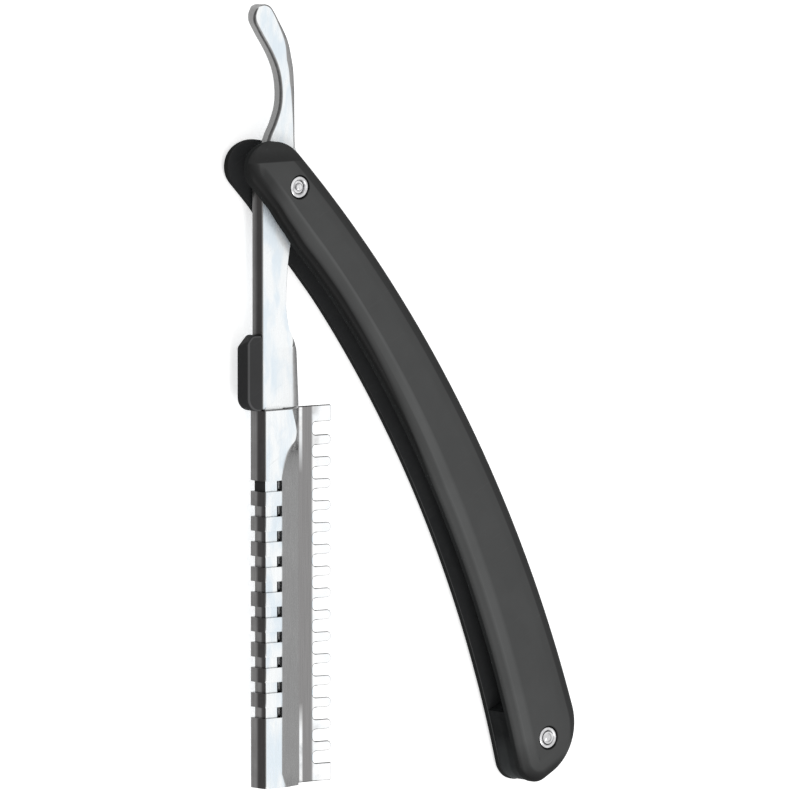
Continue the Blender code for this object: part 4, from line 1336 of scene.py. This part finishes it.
def holder_shape(sizes):
    """The folded sheet, open at its lips, with windows through its spine."""
    half, spine = sizes.thickness / 2, -bpy.context.scene.razor_shank.spine
    sections = [holder_section(station, half, spine, sizes.sheet) for station in holder_stations(sizes)]
    return combined(skin(sections), ("DIFFERENCE", window_shape(sizes, half, spine)))


def window_shape(sizes, half, spine):
    """The windows as one cutter, with slightly rounded corners."""
    run = sizes.reach - sizes.window_start - sizes.window_foot - sizes.window_height
    pitch = run / (sizes.window_count - 1)
    shape = bmesh.new()
    for i in range(sizes.window_count):
        top = HOLDER_TOP - sizes.window_start - i * pitch
        made = bmesh.ops.create_cube(shape, size=1)
        low = Vector((spine - OVERRUN, top - sizes.window_height, -half - OVERRUN))
        high = Vector((spine + WINDOW_WIDTH, top, half + OVERRUN))
        bmesh.ops.scale(shape, verts=made["verts"], vec=high - low)
        bmesh.ops.translate(shape, verts=made["verts"], vec=(low + high) / 2)
    upright = [edge for edge in shape.edges if abs(edge.verts[0].co.z - edge.verts[1].co.z) > half]
    round_edges(shape, upright, WINDOW_ROUND, 3)
    return shape


class RAZOR_OT_holder(Operator):
    """Build the folded holder with its windows"""

    bl_idname = "razor.holder"
    bl_label = "Holder"

    def execute(self, context):
        sizes, looks = context.scene.razor_holder, context.scene.razor_finishes
        shape = holder_shape(sizes)
        round_edges(shape, sharp_edges(shape, SQUARE_ANGLE), HOLDER_ROUND)
        spine = HOLDER_SPINE_DEPTH - context.scene.razor_shank.spine

        def on_spine(face):
            return face.calc_center_median().x < spine and face.normal.x < HOLDER_SPINE_LEAN

        paint_sides(shape, on_spine)
        face = steel("holder_steel", looks, HOLDER_REFLECTION_TONES, flat_from=0.97, flat_at=0.994)
        back = spine_steel("holder_spine_steel", looks, edge=0.08, shade_from=-0.5 * MM, shade_at=0.4 * MM)
        add_piece("folded_holder", shape, HEAD_PLACE, "head", ["holder"], [face, back])
        return {"FINISHED"}


def peg_depths(reach):
    """How far below the holder's top the upper and the lower peg stand."""
    return PEG_FROM_TOP, reach - PEG_FROM_FOOT


class RAZOR_OT_core(Operator):
    """Build the bar and the two pegs inside the holder"""

    bl_idname = "razor.core"
    bl_label = "Spine bar and pegs"

    def execute(self, context):
        sizes, looks = context.scene.razor_holder, context.scene.razor_finishes
        foot = HOLDER_TOP - sizes.reach + BAR_FOOT
        filler = bar(CORE_BACK, KNEE_AT_BODY - BAR_MARGIN, foot, BLOCK_END - BAR_GAP, CORE_HALF)
        round_edges(filler, filler.edges, BAR_ROUND, 3)
        paint_sides(filler, lambda face: face.normal.x < HOLDER_SPINE_LEAN)
        # Painted shade: the bar's side darkens upwards, as the spines do
        side = spine_steel("bar_side_steel", looks, edge=0.08, shade_from=0, shade_at=0.8 * MM)
        finishes = [steel("bar_steel", looks, PLAIN_REFLECTION_TONES), side]
        add_piece("windowed_spine_bar", filler, HEAD_PLACE, "head", ["spine_bar"], finishes)
        dull = turned_metal("peg_steel", looks.peg_steel, rough=0.3)
        for which, depth in zip(("upper", "lower"), peg_depths(sizes.reach)):
            low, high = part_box(f"blade_peg_{which}")
            peg = rod(PEG_RADIUS, (high.z - low.z) / 2)
            round_edges(peg, sharp_edges(peg), PEG_ROUND)
            there = HEAD_PLACE @ Matrix.Translation((PEG_PLACE, HOLDER_TOP - depth, 0))
            add_piece(f"round_peg_{which}", peg, there, "head", [f"blade_peg_{which}"], [dull])
        return {"FINISHED"}


# Blade and guard

BLADE_BACK = -1.2 * MM
BLADE_MARGIN = 1.8 * MM
BLADE_DROP = 0.05 * MM
GROUND_WIDTH = 0.8 * MM
GROUND_EDGE = 0.04 * MM
GUARD_BACK = -1.3 * MM
GUARD_RISE = 0.03 * MM
GUARD_ROOT = 5.8 * MM
GAP_CORNER = 0.75 * MM
GUARD_TIP = 9.7 * MM
GUARD_FOOT_MARGIN = 0.3 * MM
GUARD_HEEL = 2.95 * MM
GUARD_FIRST_GAP = 2.2 * MM
GUARD_TOE = 3.2 * MM
GUARD_CORNER = 0.35 * MM
GUARD_FACE_ROUND = 0.22 * MM
GUARD_UNDER_ROUND = 0.06 * MM
TOOTH_SHARE = 0.4755
CREASE = 5.6 * MM
NOTCH_CLEARANCE = 0.15 * MM


def notched_back(back, bottom, reach):
    """Moves down a back edge, with a round notch at each peg."""
    radius = PEG_RADIUS + NOTCH_CLEARANCE
    moves = []
    for depth in peg_depths(reach):
        y = HOLDER_TOP - depth
        moves += [(back, y + radius), (PEG_PLACE, y + radius), (PEG_PLACE, y, -math.pi), (back, y - radius)]
    return [*moves, (back, bottom)]


def split_at(shape, x):
    """Cuts the shape's faces along a line at x, and returns the points beyond it."""
    everything = [*shape.verts, *shape.edges, *shape.faces]
    bmesh.ops.bisect_plane(shape, geom=everything, dist=TOUCHING, plane_co=(x, 0, 0), plane_no=(1, 0, 0))
    return [vert for vert in shape.verts if vert.co.x > x + TOUCHING]


class RAZOR_OT_blade(Operator):
    """Build the blade with its ground edge"""

    bl_idname = "razor.blade"
    bl_label = "Blade"

    def execute(self, context):
        sizes, looks = context.scene.razor_edge, context.scene.razor_finishes
        reach = context.scene.razor_holder.reach
        top, bottom = HOLDER_TOP - BLADE_MARGIN, HOLDER_TOP - reach + BLADE_MARGIN
        edge = BLADE_BACK + sizes.blade_width
        high = -BLADE_DROP
        low = high - sizes.blade_thickness
        moves = [*notched_back(BLADE_BACK, bottom, reach), (edge, bottom), (edge, top)]
        shape = plate((BLADE_BACK, top), moves, low, high)
        thin = (sizes.blade_thickness - GROUND_EDGE) / 2
        for vert in split_at(shape, edge - GROUND_WIDTH):
            vert.co.z += thin if vert.co.z < (low + high) / 2 else -thin
        finish = steel("blade_steel", looks, PLAIN_REFLECTION_TONES, flat_from=0.9, flat_at=0.999, rough=0.14)
        add_piece("ground_blade", shape, HEAD_PLACE, "blade", ["blade"], [finish])
        return {"FINISHED"}


def blunt_end(tip, low, high):
    """Moves round the end of the guard's heel or toe."""
    x = tip - GUARD_CORNER
    return [
        (x, low),
        (x, low + GUARD_CORNER, math.pi / 2),
        (tip, high - GUARD_CORNER),
        (x, high - GUARD_CORNER, math.pi / 2),
    ]


def guard_moves(sizes, reach):
    """Moves round the comb guard: down its back edge and up along its teeth."""
    top, end = HOLDER_TOP, HOLDER_TOP - reach + GUARD_FOOT_MARGIN
    tip = GUARD_TIP
    pitch = (reach - GUARD_FOOT_MARGIN - GUARD_HEEL - GUARD_FIRST_GAP - GUARD_TOE) / sizes.tooth_count
    tooth = pitch * TOOTH_SHARE
    side = end + GUARD_TOE
    moves = [*notched_back(GUARD_BACK, end, reach), *blunt_end(tip, end, side)]

    def gap_to(high):
        bend = GUARD_ROOT + GAP_CORNER
        moves.extend([(bend, side), (bend, side + GAP_CORNER, -math.pi / 2)])
        moves.extend([(GUARD_ROOT, high - GAP_CORNER), (bend, high - GAP_CORNER, -math.pi / 2)])

    for _ in range(sizes.tooth_count):
        gap_to(side + pitch - tooth)
        side += pitch - tooth
        half = tooth / 2
        moves.extend([(tip - half, side), (tip - half, side + half, math.pi)])
        side += tooth
    gap_to(top - GUARD_HEEL)
    return [*moves, *blunt_end(tip, top - GUARD_HEEL, top)]


class RAZOR_OT_guard(Operator):
    """Build the comb guard with its round-ended teeth"""

    bl_idname = "razor.guard"
    bl_label = "Comb guard"

    def execute(self, context):
        sizes, looks = context.scene.razor_edge, context.scene.razor_finishes
        reach = context.scene.razor_holder.reach
        high = GUARD_RISE + sizes.guard_thickness
        shape = plate((GUARD_BACK, HOLDER_TOP), guard_moves(sizes, reach), GUARD_RISE, high)
        round_edges(shape, rim(shape, high), GUARD_FACE_ROUND, 4)
        round_edges(shape, rim(shape, GUARD_RISE), GUARD_UNDER_ROUND)
        for vert in split_at(shape, CREASE):
            vert.co.z += (vert.co.x - CREASE) * math.tan(sizes.tooth_tilt)
        finish = guard_steel("guard_steel", looks)
        add_piece("toothed_guard", shape, HEAD_PLACE, "guard", ["comb_guard"], [finish])
        return {"FINISHED"}


# The guard's colour in the head's frame: the crease where its strip of painted shade turns pale, a painted
# highlight between two lines that fades from both ends, painted shade at the roots of the teeth, and
# painted shadow beside them
CREASE_SPAN = (CREASE - 0.1 * MM, CREASE + 0.4 * MM)
HIGHLIGHT_NEAR = (2.75 * MM, 3.0 * MM)
HIGHLIGHT_FAR = (3.35 * MM, 3.75 * MM)
HIGHLIGHT_TOP = (-50 * MM, -43 * MM)
HIGHLIGHT_FOOT = (-90 * MM, -95 * MM)
ROOT_SPAN = (6.3 * MM, 7.5 * MM)
ROOT_SHADE_TONE = 0.45
ROOT_SHADOW = 0.45
ROOT_SHADOW_SPAN = (6.4 * MM, 7.8 * MM)
TOOTH_BACK = (-math.sin(OPEN_ANGLE), math.cos(OPEN_ANGLE), 0)
WHITE = (1, 1, 1)


def guard_steel(name, looks):
    """Steel of the guard: pale teeth and dull cut sides, with painted shade, shadow and a painted highlight.
    """
    made, tree, shader = material(name)
    place = split(tree, own_place(tree))
    toothed = spread(tree, place["X"], *CREASE_SPAN, smooth=True)
    near = spread(tree, place["X"], *HIGHLIGHT_NEAR, smooth=True)
    far = spread(tree, place["X"], *HIGHLIGHT_FAR, 1.0, 0.0, smooth=True)
    ends = [spread(tree, place["Y"], *span) for span in (HIGHLIGHT_TOP, HIGHLIGHT_FOOT)]
    ends = maths(tree, "MAXIMUM", *ends)
    # Painted highlight in a streak beside the lip, fading towards both ends
    painted_highlight = times(tree, times(tree, near, far), ends)
    upright = effect(tree, upright_share, low=0.95, high=0.996)
    # The cut sides are duller steel, and painted shade makes those that face one way along the teeth darker
    # still
    dull = spread(tree, lean_to(tree, TOOTH_BACK), -0.4, 0.2, 0.4, 1.0)
    dull = times(tree, dull, spread(tree, ends, 0, 1, 0.7, 1.0))
    grain = effect(tree, brushed_grain, across=5000.0, along=80.0)["Grain"]
    patch = effect(tree, soft_patches, scale=380.0)["Patch"]
    pale = marked(tree, WHITE, patch, 0.3, looks.steel_blue)
    # Painted shadow, in broken patches, beside the roots of the teeth
    root_shadow = effect(tree, soft_patches, scale=240.0, low=0.42, high=0.7)["Patch"]
    root_shadow = times(tree, root_shadow, times(tree, ends, ROOT_SHADOW))
    root_shadow = times(tree, root_shadow, spread(tree, place["X"], *ROOT_SHADOW_SPAN, 1.0, 0.0, smooth=True))
    pale = blend(tree, root_shadow, pale, looks.guard_side_and_shadow)
    # Painted shade on the strip up to the crease, with its grain
    shaded_strip = varied(tree, looks.guard_strip_shade, grain, (0.3, 0.9), (0.7, 1.12))
    tone = blend(tree, maths(tree, "MAXIMUM", toothed, painted_highlight), shaded_strip, pale)
    # Painted shade on the cut sides at the roots of the teeth
    rooted = spread(tree, place["X"], *ROOT_SPAN, 1.0, 0.0, smooth=True)
    cut = maths(tree, "SUBTRACT", 1.0, upright["Share"])
    cut = times(tree, cut, maths(tree, "MAXIMUM", dull, rooted))
    side = varied(tree, looks.guard_side_and_shadow, rooted, (0, 1.0), (1, ROOT_SHADE_TONE))
    tone = blend(tree, cut, tone, side)
    dress(tree, shader, tone, uneven(tree, grain, 0.18, 0.34), grain, GRAIN_DEPTH)
    return made


# Slider

SLIDER_FOOT = HOLDER_TOP - 0.2 * MM
SLIDER_CORNER = 2.1 * MM
SLIDER_FOOT_ROUND = 2.4 * MM
SLIDER_CLEARANCE = 0.1 * MM
GRIP_ANGLE = math.radians(20)
# The upper face's cut corner is drawn this share of the way from the square one, above this margin
NEAR_CORNER_SHARE = 0.45
NEAR_CORNER_MARGIN = 1 * MM
JOIN_OVERLAP = 0.3 * MM
WEB_FOOT = HOLDER_TOP + 0.4 * MM
WEB_FRONT = -4.17 * MM
WEB_HALF = 0.55 * MM
TONGUE_FRONT = -4.47 * MM
TONGUE_TOP = HOLDER_TOP + 0.7 * MM
TONGUE_HALF = 0.275 * MM
LUG_MARGIN = 0.56 * MM
LUG_LEAN = 0.5
POCKET_DEPTH = 1.1 * MM
POCKET_FOOT = -29.4 * MM
POCKET_TOP = -26.2 * MM
POCKET_HALF = 0.9 * MM


def slider_shape(sizes, spine):
    """The grip with a cut top corner and a round lower one, and the web, tongue and block that hold it."""
    half = sizes.thickness / 2
    under, crest = -spine - SLIDER_CLEARANCE, -spine - sizes.rise
    top = SLIDER_FOOT + sizes.reach
    turn_at = (crest + SLIDER_FOOT_ROUND, SLIDER_FOOT + SLIDER_FOOT_ROUND)
    moves = [
        (under, top),
        (crest + SLIDER_CORNER, top),
        (crest, top - SLIDER_CORNER),
        (crest, turn_at[1]),
        (*turn_at, math.pi / 2),
    ]
    grip = plate((under, SLIDER_FOOT), moves, -half, half)
    for vert in grip.verts:
        if vert.co.z > 0 and vert.co.y > turn_at[1] + NEAR_CORNER_MARGIN and vert.co.x < under - TOUCHING:
            near_corner = Vector((crest, top))
            vert.co.xy = near_corner.lerp(vert.co.xy, NEAR_CORNER_SHARE)
    round_edges(grip, sharp_edges(grip, GRIP_ANGLE), sizes.edge, 4)
    web = bar(under - JOIN_OVERLAP, WEB_FRONT, WEB_FOOT, WEB_TOP, WEB_HALF)
    tongue = bar(CORE_BACK, TONGUE_FRONT, BLOCK_TOP - JOIN_OVERLAP, TONGUE_TOP, TONGUE_HALF)
    lug = bar(CORE_BACK, KNEE_AT_BODY - LUG_MARGIN, BLOCK_END, BLOCK_TOP, CORE_HALF)
    pocket = bar(under - POCKET_DEPTH, under + OVERRUN, POCKET_FOOT, POCKET_TOP, POCKET_HALF)
    return combined(grip, ("UNION", web), ("UNION", tongue), ("UNION", lug), ("DIFFERENCE", pocket))


class RAZOR_OT_slider(Operator):
    """Build the lock slider, and give its spring a finish"""

    bl_idname = "razor.slider"
    bl_label = "Lock slider"

    def execute(self, context):
        sizes, looks = context.scene.razor_slider, context.scene.razor_finishes
        shape = slider_shape(sizes, context.scene.razor_shank.spine)

        def on_lug(face):
            return face.calc_center_median().y < BLOCK_TOP and abs(face.normal.z) > LUG_LEAN

        paint_sides(shape, on_lug)
        finishes = [slider_plastic("slider_plastic", looks), steel("lug_steel", looks, PLAIN_REFLECTION_TONES)]
        add_piece("moulded_slider", shape, HEAD_PLACE, "slider", ["lock_slider"], finishes)
        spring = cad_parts["slider_spring"]
        spring.data.materials.clear()
        spring.data.materials.append(turned_metal("spring_steel", looks.steel_blue, rough=0.2))
        return {"FINISHED"}


# Stage

CAMERA_PLACE = (-1.14686, -1.52033, 2.38995)
CAMERA_AZIMUTH = math.radians(-38.06)
CAMERA_ELEVATION = math.radians(50.95)
CAMERA_ROLL = math.radians(97.01)
CAMERA_LENS = 796.5
CAMERA_SENSOR = 36.0
CAMERA_CLIP = (0.1, 20)
LAMP_PLACE = (0.30, -0.28, 0.50)
LAMP_WIDTH = 0.22
# How far up the light starts to get stronger, and where it is strongest, as the upward part of a direction
SKY_SPAN = (0.30, 0.72)


def add_floor(looks):
    """A flat pale floor that looks white to the camera and keeps the razor's shadow."""
    shape = bmesh.new()
    bmesh.ops.create_grid(shape, x_segments=1, y_segments=1, size=looks.floor_width / 2)
    finish = bpy.data.materials.new("pale_floor")
    finish.use_nodes = True
    tree = finish.node_tree
    tree.nodes.clear()
    paper = node(tree, "BsdfDiffuse", {"Color": paint(looks.floor_colour)})
    path = node(tree, "LightPath").outputs
    seen = maths(tree, "MAXIMUM", path["Is Camera Ray"], path["Is Glossy Ray"])
    seen = maths(tree, "MAXIMUM", seen, path["Is Transmission Ray"])
    lift = node(tree, "Emission", {"Strength": times(tree, seen, looks.floor_lift)})
    both = node(tree, "AddShader", {0: paper.outputs[0], 1: lift.outputs[0]})
    node(tree, "OutputMaterial", {"Surface": both.outputs[0]})
    floor = as_object("floor", shape, [finish])


def add_sky(looks):
    """Soft light from all round, stronger overhead."""
    world = bpy.data.worlds.new("studio")
    bpy.context.scene.world = world
    world.use_nodes = True
    tree = world.node_tree
    tree.nodes.clear()
    up = split(tree, node(tree, "TexCoord").outputs["Generated"])["Z"]
    strongest = spread(tree, up, *SKY_SPAN, looks.sky_low, looks.sky_high, smooth=True)
    light = node(tree, "Background", {"Color": paint(WHITE), "Strength": strongest})
    node(tree, "OutputWorld", {"Surface": light.outputs[0]})


def add_lamp(name, place, aim, width, power):
    """A round soft lamp that shines at the aim."""
    data = bpy.data.lights.new(name, "AREA")
    data.shape, data.size, data.energy = "DISK", width, power
    lamp = linked(name, data)
    lamp.location = place
    lamp.rotation_euler = (Vector(aim) - Vector(place)).to_track_quat("-Z", "Y").to_euler()


def add_camera():
    """The camera, from where the razor is looked at."""
    data = bpy.data.cameras.new("camera")
    data.lens, data.sensor_width = CAMERA_LENS, CAMERA_SENSOR
    data.clip_start, data.clip_end = CAMERA_CLIP
    camera = linked("camera", data)
    tilt = Euler((math.pi / 2 - CAMERA_ELEVATION, 0, CAMERA_AZIMUTH)).to_matrix().to_4x4()
    camera.matrix_world = Matrix.Translation(CAMERA_PLACE) @ tilt @ Matrix.Rotation(CAMERA_ROLL, 4, "Z")
    bpy.context.scene.camera = camera


class RAZOR_OT_stage(Operator):
    """Build the floor, the light and the camera"""

    bl_idname = "razor.stage"
    bl_label = "Stage"

    def execute(self, context):
        looks = context.scene.razor_stage
        add_floor(looks)
        add_sky(looks)
        aim = (PIN_DISTANCE / 2, 0, MID_HEIGHT)
        add_lamp("key_lamp", LAMP_PLACE, aim, LAMP_WIDTH, looks.key_power)
        add_camera()
        context.scene.view_settings.view_transform = "Standard"
        return {"FINISHED"}


GROUPS = {
    "razor_handle": HandleSizes,
    "razor_shank": ShankSizes,
    "razor_holder": HolderSizes,
    "razor_edge": EdgeSizes,
    "razor_slider": SliderSizes,
    "razor_finishes": Finishes,
    "razor_stage": StageLook,
}
OPERATORS = (
    RAZOR_OT_scales,
    RAZOR_OT_spacer,
    RAZOR_OT_pins,
    RAZOR_OT_washers,
    RAZOR_OT_shank,
    RAZOR_OT_holder,
    RAZOR_OT_core,
    RAZOR_OT_blade,
    RAZOR_OT_guard,
    RAZOR_OT_slider,
    RAZOR_OT_stage,
)


class RAZOR_PT_panel(Panel):
    """The razor's pieces and sizes"""

    bl_idname = "RAZOR_PT_panel"
    bl_label = "Styling Razor"
    bl_space_type = "VIEW_3D"
    bl_region_type = "UI"
    bl_category = "Razor"

    def draw(self, context):
        for operator in OPERATORS:
            self.layout.operator(operator.bl_idname)
        for attribute, kind in GROUPS.items():
            box = self.layout.box()
            box.label(text=kind.__doc__)
            for name in kind.__annotations__:
                box.prop(getattr(context.scene, attribute), name)


def register():
    for kind in (*GROUPS.values(), *OPERATORS, RAZOR_PT_panel):
        bpy.utils.register_class(kind)
    for attribute, kind in GROUPS.items():
        setattr(bpy.types.Scene, attribute, PointerProperty(type=kind))


def unregister():
    for attribute in GROUPS:
        delattr(bpy.types.Scene, attribute)
    for kind in reversed((*GROUPS.values(), *OPERATORS, RAZOR_PT_panel)):
        bpy.utils.unregister_class(kind)


def main():
    register()
    for operator in OPERATORS:
        family, name = operator.bl_idname.split(".")
        getattr(getattr(bpy.ops, family), name)()


if __name__ == "__main__":
    main()
